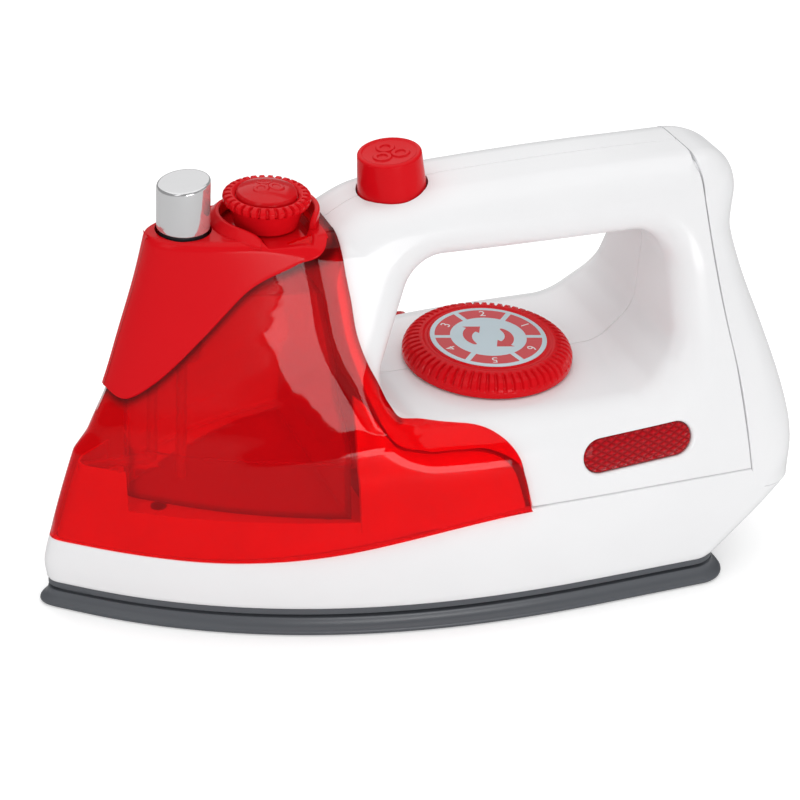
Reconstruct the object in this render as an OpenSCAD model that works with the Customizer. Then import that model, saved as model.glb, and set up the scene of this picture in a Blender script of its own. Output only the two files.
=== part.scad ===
/* [Body] */
// Length from the sole's tip to the back of the rear cover
body_length = 222.6; // [200:0.1:245]
// Half of the sole's width at its widest place
half_width = 51.4; // [46:0.1:56]
// Distance from the tip to the widest place of the plan, as a share of the length
wide_share = 0.731; // [0.68:0.001:0.78]
// Distance from the tip to the sole's rear edge, as a share of the length
sole_share = 0.9015; // [0.88:0.0005:0.92]
// Rounding of the tip seen from above
tip_r = 3; // [1:0.1:6]
// Rounding of the sole's rear corners seen from above
sole_corner_r = 9; // [4:0.1:16]
// Height of the handle's crown at its rear end
handle_z = 124.5; // [118:0.1:132]
// Height of the deck that the dial stands on
deck_z = 60; // [56:0.1:66]
// Thickness of the casing walls
wall = 2; // [1.4:0.1:2.6]
// Gap left between the two shells on the middle plane
parting_gap = 0.1; // [0.05:0.01:0.2]

/* [Sole] */
// Thickness of the sole's rounded lip
lip_h = 2.2; // [1.6:0.1:3]
// Height of the sole up to the white band
sole_h = 8; // [7:0.1:10]
// Inset of the flare above the lip
flare_inset = 2.2; // [1:0.1:4]
// Height at which the dark groove under the strip starts
groove_z = 5; // [4:0.1:6]
// Height of the dark groove
groove_h = 1.1; // [0.6:0.1:1.6]
// Inset of the groove
groove_inset = 4.2; // [3.5:0.1:6]
// Inset of the strip under the white band
strip_inset = 2.6; // [1.5:0.1:4]

/* [Band] */
// Height of the band's top edge at the tip
band_front_z = 22.5; // [20:0.1:26]
// Height of the band's top edge at the rear
band_rear_z = 35.5; // [32:0.1:39]
// Thickness of the band's floor
floor_t = 2; // [1.4:0.1:3]
// Height of the rear cover's lower edge, where the slanted heel starts
heel_z = 29.5; // [26:0.1:32]

/* [Opening] */
// Radius of the handle opening's corners
open_r = 12; // [9:0.1:14]
// Rounding of the casing round the handle opening
saddle_r = 10; // [7:0.1:11]
// Rounding of the handle's crown
crown_r = 9; // [6:0.1:10]
// Height of the handle's underside
open_top_z = 104; // [100:0.1:106]
// Place of the opening's rear edge, as a share of half the length
open_rear_share = 0.658; // [0.63:0.001:0.67]
// Place of the opening's front lower edge, as a share of half the length
open_front_share = -0.158; // [-0.18:0.001:-0.14]
// How far the opening's front edge leans back towards the top
open_lean = 8; // [0:0.1:12]

/* [Tank] */
// Height of the ledge round the tank at the tip
ledge_z = 50; // [46:0.1:53]
// Rise of the ledge from its rim to the upper wall
ledge_rise = 4.9; // [3:0.1:7]
// How far the tank stands proud of the white shells
tank_proud = 1.8; // [1.4:0.1:2]
// Thickness of the tank's wall
tank_wall = 1; // [0.8:0.1:1.1]
// Distance from the tank's wall to the reservoir's wall
reservoir_gap = 4; // [3:0.1:6]
// Thickness of the reservoir's wall
reservoir_wall = 1.4; // [1:0.1:2]

/* [Top cover] */
// Height of the top cover's flat top
cover_z = 115.3; // [112:0.1:118]
// How far the cover stands proud of the tank
cover_proud = 1.4; // [1.2:0.1:2]
// Clearance between the cover and the tank under it
cover_clear = 0.4; // [0.3:0.05:0.6]
// Thickness of the cover's top plate
plate_t = 3.1; // [2.8:0.1:4]
// Height of the collar behind the knob
collar_z = 119.4; // [117:0.1:121]

/* [Spray cap] */
// Place of the spray cap, as a share of half the length
cap_share = -0.62; // [-0.635:0.001:-0.605]
// Radius of the spray cap
cap_r = 7.3; // [6:0.1:8]
// Height of the middle of the cap's top
cap_top_z = 129.6; // [126:0.1:134]
// Height of the cap's lower rim
cap_rim_z = 116.9; // [116:0.1:118.5]
// Slant of the cap's top, in degrees
cap_slant = 8; // [0:0.5:12]
// Travel of the spray cap
cap_travel = 7; // [4:0.1:8]
// Radius of the dark stem inside the cap
stem_r = 6.5; // [5:0.1:6.8]
// Clearance round the cap where it goes through the cover
cap_clear = 0.35; // [0.2:0.05:0.6]

/* [Pump] */
// Inner radius of the pump's cylinder
pump_r = 4.2; // [3.5:0.1:5]
// Wall of the pump's cylinder
pump_wall = 1.2; // [0.9:0.1:1.6]
// Height of the pump's cylinder
pump_h = 30; // [27:0.5:33]
// Running clearance of the piston
piston_clear = 0.06; // [0.02:0.01:0.1]
// Radius of the suction and outlet tubes
tube_r = 1.6; // [1.2:0.1:2.2]
// Radius of the spray nozzle's face
nozzle_r = 1.8; // [1.2:0.1:2.4]

/* [Knob] */
// Place of the knob, as a share of half the length
knob_share = -0.407; // [-0.42:0.001:-0.395]
// Radius of the knob's ribbed ring
knob_r = 12.3; // [10:0.1:12.6]
// Height of the top of the knob's ring
knob_top_z = 122.8; // [121:0.1:126]
// Height of the knob's ring
knob_ring_h = 4.2; // [3:0.1:5]
// Height of the knob's lower edge
knob_foot_z = 114; // [113.8:0.1:116]
// Radius of the skirt at its foot
knob_foot_r = 9.5; // [8:0.1:10.2]
// Number of ribs round the knob
knob_ribs = 30; // [20:1:40]
// Radius of the domed disc on the knob
knob_disc_r = 8.4; // [6:0.1:9]
// Height of the dome above the ring
knob_dome_h = 2; // [1:0.1:3]
// Clearance round the knob in its pocket
knob_clear = 0.7; // [0.5:0.05:1.2]

/* [Handle button] */
// Place of the middle of the button's top, as a share of half the length
button_share = -0.089; // [-0.11:0.001:-0.07]
// Height of the middle of the button's top
button_top_z = 131.3; // [129:0.1:134]
// Radius of the button's top
button_r = 9; // [7:0.1:10]
// Height of the button
button_h = 14; // [12:0.1:16]
// Taper of the button over its height
button_taper = 0.9; // [0:0.1:1.4]
// Travel of the button
button_travel = 3; // [2:0.1:4]
// Lean of the button's axis towards the tip, in degrees
button_lean = 7.4; // [0:0.1:10]
// Clearance round the button
button_clear = 0.3; // [0.2:0.05:0.6]

/* [Dial] */
// Place of the dial, as a share of half the length
dial_share = 0.23; // [0.2:0.001:0.26]
// Radius of the dial
dial_r = 25.5; // [22:0.1:27]
// Height of the dial above the deck
dial_h = 6.6; // [5:0.1:9]
// Radius of the flat inner disc
dial_disc_r = 19; // [15:0.1:21]
// Number of ribs round the dial
dial_ribs = 60; // [40:1:80]
// Radius of the label on the dial
label_r = 17.4; // [14:0.1:18.5]
// Radius of the dial's hub in the deck
hub_r = 6; // [4:0.1:8]
// Gap between the dial and the deck
dial_gap = 0.35; // [0.3:0.05:0.8]
// Running clearance of the hubs
hub_clear = 0.05; // [0.02:0.01:0.1]

/* [Side lenses] */
// Place of the lens's middle, as a share of half the length
lens_share = 0.506; // [0.49:0.001:0.53]
// Height of the lens's middle
lens_z = 48.2; // [46:0.1:50]
// Length of the lens
lens_length = 35; // [28:0.1:38]
// Height of the lens
lens_h = 10.4; // [8:0.1:12]
// Tilt of the lens, rear end up, in degrees
lens_tilt = 3; // [0:0.5:6]
// Depth of the lens below the shell's surface
lens_sink = 1; // [0.6:0.1:1.6]

/* [Battery case] */
// Radius of a round cell
cell_r = 7.25; // [5.25:0.05:7.25]
// Length of a round cell
cell_length = 50.5; // [44.5:0.1:50.5]
// Place of the battery case's middle, as a share of half the length
case_share = 0.2875; // [0.24:0.0005:0.33]
// Room at each end of the cells for the contacts
contact_room = 3.4; // [2.8:0.1:5]
// Wall of the battery case
case_wall = 1.5; // [1.2:0.1:2]
// Thickness of the battery door
door_t = 1.8; // [1.4:0.1:1.9]
// Height of the door's face above the floor
door_sink = 0.4; // [0.3:0.05:0.8]
// Gap round the battery door
door_gap = 0.35; // [0.3:0.05:0.6]

/* [Hidden] */
$fn = 48;
half_length = body_length / 2;
tip_x = -half_length;
wide_x = tip_x + wide_share * body_length;
sole_rear = tip_x + sole_share * body_length;
open_rear_x = open_rear_share * half_length;
open_front_x = open_front_share * half_length;
cap_x = cap_share * half_length;
knob_x = knob_share * half_length;
button_x = button_share * half_length;
dial_x = dial_share * half_length;
lens_x = lens_share * half_length;
case_x = case_share * half_length;
// Exponents of the plan's nose curve
plan_rise = 2.45;
plan_round = 1.163;
// Half-width of the casing against height: shares of handle_z and of half_width
side_shares = [
  [0.064, 0.953], [0.193, 0.936], [0.285, 0.891], [0.402, 0.825], [0.504, 0.745],
  [0.643, 0.584], [0.779, 0.453], [0.924, 0.34], [1, 0.302]
];
// Place of the nose below the ledge: shares of handle_z and of half_length
low_tip_shares = [[0.064, 0.979], [0.116, 0.985], [0.2, 0.965], [0.301, 0.936], [0.402, 0.903], [0.44, 0.888]];
// Place of the nose above the ledge: shares of handle_z and of half_length
high_tip_shares = [[0.402, 0.88], [0.441, 0.868], [0.561, 0.814], [0.696, 0.769], [0.816, 0.73], [0.93, 0.7]];
// Back of the rear cover on the middle plane: shares of half_length and of handle_z
back_shares = [
  [1, 0.237], [0.994, 0.36], [0.972, 0.48], [0.938, 0.59], [0.893, 0.705], [0.862, 0.8],
  [0.861, 0.85], [0.866, 0.913], [0.852, 0.958], [0.82, 0.984], [0.775, 0.997], [0.727, 1]
];
// Seam between the shells and the rear cover: shares of half_length and of handle_z
seam_shares = [
  [0.855, 0.237], [0.849, 0.285], [0.813, 0.504], [0.788, 0.643], [0.764, 0.779], [0.752, 0.85],
  [0.747, 0.88], [0.744, 0.895], [0.742, 0.905], [0.741, 0.914], [0.74, 0.921], [0.739, 0.928]
];
// Rear edge of the tank on its white neighbours: shares of half_length and of handle_z
tank_edge_shares = [
  [0.195, 0.277], [0.185, 0.325], [0.173, 0.373], [0.16, 0.417], [0.13, 0.452], [0.072, 0.474], [-0.054, 0.482],
  [-0.13, 0.502], [-0.157, 0.546], [-0.184, 0.594], [-0.216, 0.651], [-0.238, 0.715], [-0.248, 0.787],
  [-0.259, 0.849], [-0.265, 0.896]
];
// Height of each tank row at the nose: shares of handle_z, with the ledge between rows 6 and 7
tank_nose_shares = [
  0.181, 0.235, 0.29, 0.335, 0.37, 0.392, 0.402,
  0.441, 0.49, 0.543, 0.598, 0.654, 0.71, 0.765, 0.82
];
ledge_row = 6;
// Lower edge of the top cover: shares of the way from the nose to the tank's rear edge, and of handle_z
cover_edge_shares = [
  [0, 0.562], [0.059, 0.551], [0.129, 0.59], [0.304, 0.708], [0.499, 0.819], [0.76, 0.873], [0.9, 0.888], [1, 0.892]
];
// Small values that several pieces share
overrun = 1;
thin = 0.3;
seat = 0.05;

// Plain helpers
function unit(v) = v / norm(v);
function mix(a, b, s) = a + (b - a) * s;
function clamp(v, low, high) = min(max(v, low), high);
function ease(s) = let(c = clamp(s, 0, 1)) c * c * (3 - 2 * c);
function flat(list) = [for (row = list) each row];
function back_to_front(list) = [for (k = [len(list) - 1:-1:0]) list[k]];
function mirrored(points) = [for (p = points) [p[0], -p[1], p[2]]];

// Row of a rising table that x falls in, the slope of the table at a row, and its smooth value at x
function span(table, x, k = 0) =
  (k >= len(table) - 2 || x <= table[k + 1][0]) ? k : span(table, x, k + 1);
function slope(table, k) =
  let(a = table[max(k - 1, 0)], b = table[min(k + 1, len(table) - 1)]) (b[1] - a[1]) / (b[0] - a[0]);
function smooth(table, x) =
  let(
    k = span(table, x), x0 = table[k][0], x1 = table[k + 1][0], h = x1 - x0, s = clamp((x - x0) / h, 0, 1),
    m0 = slope(table, k), m1 = slope(table, k + 1)
  )
  (2 * s * s * s - 3 * s * s + 1) * table[k][1] + (s * s * s - 2 * s * s + s) * h * m0
  + (3 * s * s - 2 * s * s * s) * table[k + 1][1] + (s * s * s - s * s) * h * m1;

// Table of shares turned into places along the body and heights
function placed(shares) = [for (s = shares) [s[0] * half_length, s[1] * handle_z]];

// Half-width of the casing at height z where the plan is widest
function level_half(z) = half_width * smooth(side_shares, z / handle_z);
// Nose curve of the plan: distance d behind a nose at the place tip, for a widest half-width w
function plan_half(x, tip, w) =
  let(d = max(0, x - tip), s = min(1, d / (wide_x - tip)), edge = w * pow(1 - pow(1 - s, plan_rise), 1 / plan_round))
  sqrt(edge * edge + 2 * tip_r * d * exp(-d / tip_r));
function low_tip(z) = -half_length * smooth(low_tip_shares, z / handle_z);
function high_tip(z) = -half_length * smooth(high_tip_shares, z / handle_z);
// Half-width of the shells and the rear cover before any rounding
plan_fade_share = 0.55;
function side_half(x, z) =
  let(
    w = level_half(z), tip = z < ledge_z ? low_tip(z) : high_tip(z),
    fade = plan_fade_share * ease((z - ledge_z) / (handle_z - ledge_z))
  )
  mix(plan_half(x, tip, w), w, fade);
// Stretch over which the band's top edge climbs from front to rear
slope_start_share = -0.68;
slope_stop_share = 0.255;
slope_start = slope_start_share * half_length;
slope_stop = slope_stop_share * half_length;
function band_top(x) = mix(band_front_z, band_rear_z, ease((x - slope_start) / (slope_stop - slope_start)));

// Handle opening: a core polygon grown by open_r
open_core = [
  [open_front_x + open_r, deck_z + open_r], [open_front_x + open_lean + open_r, open_top_z - open_r],
  [open_rear_x - open_r, open_top_z - open_r], [open_rear_x - open_r, deck_z + open_r + open_r / 3],
  [open_rear_x - open_r - open_r / 3, deck_z + open_r]
];
function core_gap(p, a, b) = norm(p - (a + (b - a) * clamp((p - a) * (b - a) / ((b - a) * (b - a)), 0, 1)));
function open_gap(x, z) =
  let(n = len(open_core))
  min([for (k = [0:n - 1]) core_gap([x, z], open_core[k], open_core[(k + 1) % n])]) - open_r;
function turned_in(d, r) = d >= r ? 0 : r - sqrt(max(0, r * r - (r - d) * (r - d)));
// Half-width of the shells with the rounding round the opening
function ring_half(x, z) = side_half(x, z) - turned_in(max(0, open_gap(x, z)), saddle_r);

// Points round the opening, clockwise from the front lower corner, seen from the near side
function corner_points(k, turns) =
  let(
    n = len(open_core), a = open_core[(k + n - 1) % n], p = open_core[k], b = open_core[(k + 1) % n],
    from = unit([-(p - a)[1], (p - a)[0]]), to = unit([-(b - p)[1], (b - p)[0]]),
    start = atan2(from[1], from[0]), sweep = atan2(to[1], to[0]) - start,
    turn = sweep > 180 ? sweep - 360 : sweep < -180 ? sweep + 360 : sweep
  )
  [for (t = [0:turns]) p + open_r * [cos(start + turn * t / turns), sin(start + turn * t / turns)]];
corner_turns = 3;
function rim_run(k, parts) =
  let(n = len(open_core), here = corner_points(k, corner_turns), next = corner_points((k + 1) % n, corner_turns))
  concat(here, [for (t = [1:1:parts - 1]) mix(here[corner_turns], next[0], t / parts)]);
rim_parts = [4, 9, 3, 1, 9];
rim = flat([for (k = [0:len(open_core) - 1]) rim_run(k, rim_parts[k])]);

// Closed solid between an outer and an inner grid of points of the same size
function quad(a, b, c, d) = [[a, b, c], [a, c, d]];
module skin(outer, inner, ring = false, flip = false) {
  n = len(outer);
  m = len(outer[0]);
  rows = ring ? n : n - 1;
  o = [for (i = [0:n]) [for (j = [0:m - 1]) (i % n) * m + j]];
  q = [for (i = [0:n]) [for (j = [0:m - 1]) n * m + (i % n) * m + j]];
  last = m - 1;
  faces = concat(
    [for (i = [0:rows - 1]) for (j = [0:m - 2]) each quad(o[i][j], o[i][j + 1], o[i + 1][j + 1], o[i + 1][j])],
    [for (i = [0:rows - 1]) for (j = [0:m - 2]) each quad(q[i][j], q[i + 1][j], q[i + 1][j + 1], q[i][j + 1])],
    [for (i = [0:rows - 1]) each quad(o[i][0], o[i + 1][0], q[i + 1][0], q[i][0])],
    [for (i = [0:rows - 1]) each quad(o[i + 1][last], o[i][last], q[i][last], q[i + 1][last])],
    ring ? [] : [for (j = [0:m - 2]) each quad(o[0][j + 1], o[0][j], q[0][j], q[0][j + 1])],
    ring ? [] : [for (j = [0:m - 2]) each quad(o[n - 1][j], o[n - 1][j + 1], q[n - 1][j + 1], q[n - 1][j])]
  );
  polyhedron(concat(flat(outer), flat(inner)), [for (f = faces) flip ? [f[0], f[2], f[1]] : f]);
}

// Outer edge of each shell, one place for each point of rim: shares of half_length and of handle_z
shell_edge_shares = [
  [-0.063, 0.436], [-0.153, 0.462], [-0.205, 0.546], [-0.235, 0.618], [-0.258, 0.687], [-0.27, 0.755],
  [-0.278, 0.819], [-0.262, 0.876], [-0.264, 0.909], [-0.18, 0.951], [-0.063, 0.974], [0.036, 0.987],
  [0.117, 0.991], [0.198, 0.994], [0.27, 0.996], [0.341, 0.998], [0.413, 0.999], [0.485, 1], [0.557, 1], [0.629, 1], [0.724, 1],
  [0.738, 0.914], [0.749, 0.85], [0.761, 0.779], [0.775, 0.699], [0.79, 0.618], [0.802, 0.554],
  [0.811, 0.49], [0.822, 0.426], [0.838, 0.337], [0.846, 0.287], [0.755, 0.287], [0.665, 0.287],
  [0.575, 0.287], [0.485, 0.287], [0.404, 0.287], [0.323, 0.287], [0.2, 0.286], [0.169, 0.386],
  [0.094, 0.43], [0.016, 0.436]
];
crown_first = 8;
crown_last = 20;
// Rounding of a shell's edge where a neighbour hides it
hidden_r = 0.8;
// Steps of each stretch of a rib, and the share of a rib that its first rounding may take
rib_steps = 3;
near_share = 0.7;

// Distances along a rib of length full: a rounding of radius ra, a plain stretch and a rounding of radius rb
function rib(full, ra, rb) =
  let(near = min(ra, near_share * (full - rb)), sweep = acos(1 - near / ra))
  concat(
    [for (k = [0:rib_steps]) ra * (1 - cos(sweep * k / rib_steps))],
    [for (k = [1:rib_steps]) mix(near, full - rb, k / rib_steps)],
    [for (k = [1:rib_steps]) full - rb + rb * sin(90 * k / rib_steps)]
  );
// Cross-section of a shell from the opening at p to its outer edge at b, t inside the outer surface
function rib_points(p, b, r1, r2, t) =
  let(
    dir = unit(b - p), a = p + dir * t, full = norm(b - p) - 2 * t, ra = r1 - t, rb = max(r2 - t, thin),
    body = [
      for (d = rib(full, ra, rb))
        let(at = a + dir * d, w = side_half(at[0], at[1]) - t)
        [at[0], w - turned_in(max(0, open_gap(at[0], at[1]) - t), ra) - turned_in(max(0, full - d), rb), at[1]]
    ],
    end = a + dir * full
  )
  concat([[a[0], parting_gap / 2, a[1]]], body, [[end[0], parting_gap / 2, end[1]]]);
shell_edge = placed(shell_edge_shares);
function shell_grid(t) = [
  for (k = [0:len(rim) - 1])
    rib_points(rim[k], shell_edge[k], saddle_r, k >= crown_first && k <= crown_last ? crown_r : hidden_r, t)
];
module shell_half(side) {
  outer = shell_grid(0);
  inner = shell_grid(wall);
  if (side < 0) skin([for (r = outer) mirrored(r)], [for (r = inner) mirrored(r)], true, false);
  else skin(outer, inner, true, true);
}
// Screw bosses that join the two shells: shares of half_length and of handle_z
boss_shares = [[0.725, 0.683], [0.37, 0.916], [0.69, 0.32], [0.28, 0.34], [0.63, 0.917]];
bosses = placed(boss_shares);
boss_r = 3.6;
screw_r = 1.3;
screw_head_r = 2.7;
screw_head_h = 1.6;
// Depth of a screw boss between the middle plane and the screw's head
screw_grip = 6;
function boss_reach(p) = side_half(p[0], p[1]) - turned_in(max(0, open_gap(p[0], p[1])), saddle_r) - wall / 2;
module across(p, y0, y1, r) {
  translate([p[0], min(y0, y1), p[1]]) rotate([-90, 0, 0]) cylinder(h = abs(y1 - y0), r = r);
}
module shell_bosses(side) {
  for (p = bosses) across(p, side * parting_gap / 2, side * boss_reach(p), boss_r);
}
module shell_cuts(side) {
  lens_cut(side);
  translate([dial_x, 0, deck_z - 2 * wall]) cylinder(h = 4 * wall, r = hub_r + hub_clear);
  button_frame() translate([0, 0, -button_h])
    cylinder(h = button_h + overrun, r = button_r + button_taper + button_clear);
}
module left_shell() {
  color("white") difference() {
    union() {
      shell_half(-1);
      shell_bosses(-1);
    }
    for (p = bosses) across(p, overrun, -screw_grip - 3 * overrun, screw_r);
    shell_cuts(-1);
  }
}
module right_shell() {
  color("white") difference() {
    union() {
      shell_half(1);
      shell_bosses(1);
    }
    for (p = bosses) across(p, -overrun, screw_grip + overrun, screw_r + seat);
    for (p = bosses) across(p, screw_grip, half_width, screw_head_r + seat);
    shell_cuts(1);
  }
}
module case_screws() {
  for (p = bosses) color("silver") {
    across(p, -screw_grip - 2 * overrun, screw_grip + seat, screw_r - seat / 2);
    across(p, screw_grip + seat, screw_grip + screw_head_h, screw_head_r);
  }
}

// Side lenses in their recesses, with the lights behind them
// Height above and below the lens's middle at which the shell's lean is read
lens_reach = 4;
lens_fall = side_half(lens_x, lens_z - lens_reach) - side_half(lens_x, lens_z + lens_reach);
lens_lean = atan(lens_fall / (2 * lens_reach));
// Growth of the lens's flange, and its depth below the shell's surface
flange = 1.4;
flange_depth = lens_sink + wall + 2 * thin;
module stadium(grow, height) {
  straight = lens_length - lens_h;
  linear_extrude(height) for (end = [-1, 1]) translate([end * straight / 2, 0]) circle(lens_h / 2 + grow);
  translate([-straight / 2, -lens_h / 2 - grow, 0]) cube([straight, lens_h + 2 * grow, height]);
}
// Frame on the shell's side: z points outwards, x to the rear
module lens_frame(side) {
  translate([lens_x, side * side_half(lens_x, lens_z), lens_z])
    rotate([-side * (90 - lens_lean), 0, 0]) rotate([0, 0, -side * lens_tilt]) children();
}
module lens_cut(side) {
  lens_frame(side) translate([0, 0, -2 * wall]) stadium(seat, 4 * wall);
}
module side_lens(side) {
  color("red", 0.6) lens_frame(side) {
    translate([0, 0, -flange_depth]) stadium(0, flange_depth - lens_sink);
    translate([0, 0, -flange_depth - overrun]) stadium(flange, overrun);
  }
}
module left_lens() {
  side_lens(-1);
}
module right_lens() {
  side_lens(1);
}
module lens_leds() {
  led_r = 2.5;
  led_h = 7;
  for (side = [-1, 1]) color("white") lens_frame(side) translate([0, 0, -flange_depth - overrun - thin]) {
    translate([0, 0, -led_h]) cylinder(h = led_h, r = led_r);
    translate([0, 0, -led_h]) cylinder(h = overrun, r = led_r + overrun / 2);
  }
}

// Handle button with its spring and switch
flange_h = 1.2;
guide_r = 2.4;
spring_wire = 0.4;
spring_turns = 6;
spring_r = 3.8;
button_foot_z = button_top_z - (button_h + flange_h) * cos(button_lean);
switch_z = open_top_z + wall + overrun;
// Gap left between the pressed button and its switch
switch_gap = 0.7;
switch_half = spring_r + overrun;
switch_h = button_foot_z - switch_z - button_travel - switch_gap;
module button_frame() {
  translate([button_x, 0, button_top_z]) rotate([0, -button_lean, 0]) children();
}
module handle_button() {
  color("red") button_frame() difference() {
    union() {
      translate([0, 0, -button_h]) cylinder(h = button_h, r1 = button_r + button_taper, r2 = button_r);
      translate([0, 0, -button_h - flange_h]) cylinder(h = flange_h + seat, r = button_r + button_taper + overrun);
      translate([0, 0, -button_h - flange_h]) cylinder(h = button_h, r = guide_r);
    }
    translate([0, 0, -button_h - flange_h - overrun]) difference() {
      cylinder(h = button_h, r = button_r - wall / 2);
      cylinder(h = button_h, r = guide_r);
    }
  }
}
// Wire wound round the z axis from zero to height
coil_sides = 6;
coil_steps = 20;
module coil(r, wire, height, turns) {
  around = coil_sides;
  steps = turns * coil_steps;
  rise = height - 2 * wire;
  rings = [
    for (k = [0:steps])
      let(a = 360 * turns * k / steps, c = [r * cos(a), r * sin(a), wire + rise * k / steps])
      [for (j = [0:around - 1]) let(b = 360 * j / around) c + wire * [cos(b) * cos(a), cos(b) * sin(a), sin(b)]]
  ];
  sides = [
    for (k = [0:steps - 1]) for (j = [0:around - 1])
      let(n = (j + 1) % around) each quad(k * around + j, k * around + n, (k + 1) * around + n, (k + 1) * around + j)
  ];
  polyhedron(flat(rings), concat([for (f = sides) [f[0], f[2], f[1]]], [
    [for (j = [0:around - 1]) j], [for (j = [around - 1:-1:0]) steps * around + j]
  ]));
}
module button_spring() {
  color("silver") translate([button_spring_x, 0, switch_z + switch_h + seat])
    coil(spring_r - spring_wire, spring_wire, button_foot_z - switch_z - switch_h + button_room, spring_turns);
}
button_spring_x = button_x + sin(button_lean) * button_h;
// How far the button's spring reaches into the button
button_room = 6;
module button_switch() {
  color([0.15, 0.15, 0.15]) translate([button_spring_x, 0, switch_z]) {
    translate([-switch_half, -switch_half, 0]) cube([2 * switch_half, 2 * switch_half, switch_h]);
    translate([0, 0, switch_h - seat]) cylinder(h = overrun / 2, r = guide_r / 2);
  }
}

// Tank
tank_edge = placed(tank_edge_shares);
tank_steps = 15;
// Exponents of the nose curve above the ledge, at the ledge and at the top
nose_steepness_shares = [0.6, 0.35];
function tank_nose(row) =
  let(z = handle_z * tank_nose_shares[row]) [row <= ledge_row ? low_tip(z) : high_tip(z), z];
function tank_z(row, x) =
  let(a = tank_nose(row), b = tank_edge[row])
  row == 0 ? band_top(x) + seat : mix(a[1], b[1], ease((x - slope_start) / (b[0] - slope_start)));
// Rounding of the top's edge, growing towards the handle
top_round_share = 0.25;
function top_round(s) = crown_r * mix(top_round_share, 1 - top_round_share, ease(2 * s - 1));
// Column along the tank's rear edge, with a shallow valley ahead of it
valley_depth = 0.7;
column_width = 6;
column_reach = 14;
function valley_fade(z) = ease((z - ledge_z - ledge_rise) / column_reach);
// Upper wall of the tank at height z, from the nose to its rear edge
edge_place_shares = [
  for (r = [ledge_row + 1:len(tank_edge_shares) - 1]) [tank_edge_shares[r][1], tank_edge_shares[r][0]]
];
function edge_x(z) = half_length * smooth(edge_place_shares, z / handle_z);
past_edge = 1.2;
function upper_half(x, z) =
  let(
    stop = edge_x(z), nose = high_tip(z), s = clamp((x - nose) / (stop - nose), 0, past_edge),
    steep = mix(nose_steepness_shares[0], nose_steepness_shares[1], (z - ledge_z) / (cover_z - ledge_z))
  )
  mix(
    (side_half(stop, z) + tank_proud) * pow(s, steep) - valley_depth * valley_fade(z),
    ring_half(x, z) + tank_proud, ease((x - stop + column_reach) / (column_reach - column_width))
  )
  - turned_in(max(0, cover_z - z), top_round(s));
proud_stop_share = -0.25;
proud_stop = proud_stop_share * half_length;
function lower_half(x, z) =
  plan_half(x, low_tip(min(z, ledge_z)), level_half(z)) - turned_in(max(0, open_gap(x, z)), saddle_r)
  + tank_proud * ease((x - slope_start) / (proud_stop - slope_start));
function tank_half(row, x, z) = row <= ledge_row ? lower_half(x, z) : upper_half(x, z);
// One row of the tank from the near edge round the nose to the far edge, grown outwards by out
function tank_row(row, out) =
  let(
    a = tank_nose(row), b = tank_edge[row], wide = tank_half(row, b[0], b[1]),
    far = [
      for (k = [0:tank_steps])
        let(s = ease(k / tank_steps), x = mix(a[0], b[0], s), z = tank_z(row, x), y = tank_half(row, x, z))
        [x - out * (1 - s), y * (wide + out) / wide, z]
    ]
  )
  concat(back_to_front(mirrored(far)), [for (k = [1:tank_steps]) far[k]]);
module tank_shell() {
  rows = [0:len(tank_edge) - 1];
  color("red", 0.6) skin([for (r = rows) tank_row(r, 0)], [for (r = rows) tank_row(r, -tank_wall)]);
}

// Rear cover
back = placed(back_shares);
seam = placed(seam_shares);
// Rounding of the cover's back, the most of a row that it may take, and the steps of a row
back_r = 12;
back_share = 0.9;
cover_run = 3;
cover_arc = 4;
function cover_row(k, t) =
  let(
    p = seam[k], b = back[k], dir = unit(b - p), full = norm(b - p) - t, r = min(back_r, back_share * full) - t,
    half = [
      for (j = [0:cover_arc + cover_run])
        let(
          d = j < cover_run ? (full - r) * j / cover_run : full - r + r * sin(90 * (j - cover_run) / cover_arc),
          at = p + dir * d,
          w = side_half(p[0], p[1]) - t
        )
        [at[0], w - turned_in(max(0, full - d), r), at[1]]
    ]
  )
  concat(mirrored(half), back_to_front(half));
module rear_cover() {
  rows = [0:len(seam) - 1];
  color("white") skin([for (k = rows) cover_row(k, 0)], [for (k = rows) cover_row(k, wall)]);
}

// Plan of the body seen from above, inset by a distance, with its rear edge at the place rear
plan_steps = 20;
arc_steps = 4;
function plan_points(tip, w, rear, r) =
  let(
    nose = [for (k = [0:plan_steps]) let(x = mix(tip, rear - r, ease(k / plan_steps))) [x, plan_half(x, tip, w)]],
    edge = nose[plan_steps][1],
    corner = [for (k = [1:arc_steps]) let(a = 90 * k / arc_steps) [rear - r + r * sin(a), edge - r + r * cos(a)]]
  )
  concat(nose, corner);
function whole_plan(points) =
  concat(points, [for (k = [len(points) - 1:-1:1]) [points[k][0], -points[k][1]]]);
module sole_plan(inset) {
  polygon(whole_plan(plan_points(tip_x + inset, half_width - inset, sole_rear - inset, sole_corner_r)));
}

// Battery case and door, worked out from the cells
cell_gap = 0.8;
bay_length = cell_length + 2 * contact_room;
bay_width = 4 * cell_r + 3 * cell_gap;
latch_room = 10.5;
door_rear = case_x + bay_length / 2;
door_front = case_x - bay_length / 2 - latch_room;
door_latch_x = door_front + latch_room / 2;
cell_z = lip_h + cell_gap / 2 + cell_r;
case_foot_z = lip_h + case_wall + door_gap * 2;
case_top_z = cell_z + cell_r + cell_gap / 2 + case_wall;
tongue_clear = 0.3;
tongue_t = 1;
// Reach of a door tongue as a multiple of its thickness
tongue_reach = 2.5;
// Room round the battery case in the tray's floor
case_room = case_wall + tongue_clear;
speaker_r = 13;
speaker_share = -0.557;
speaker_x = speaker_share * half_length;
magnet_share = 0.6;
sound_hole_r = 1;
sound_holes = 8;
tray_top_z = sole_h + floor_t;

// Places of the screws that hold the sole to the tray
sole_screw_shares = [[-0.78, 0], [0.72, 0.32], [0.72, -0.32], [-0.2, 0.27], [-0.2, -0.27]];
sole_screw_places = [for (s = sole_screw_shares) s * half_length];

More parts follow.
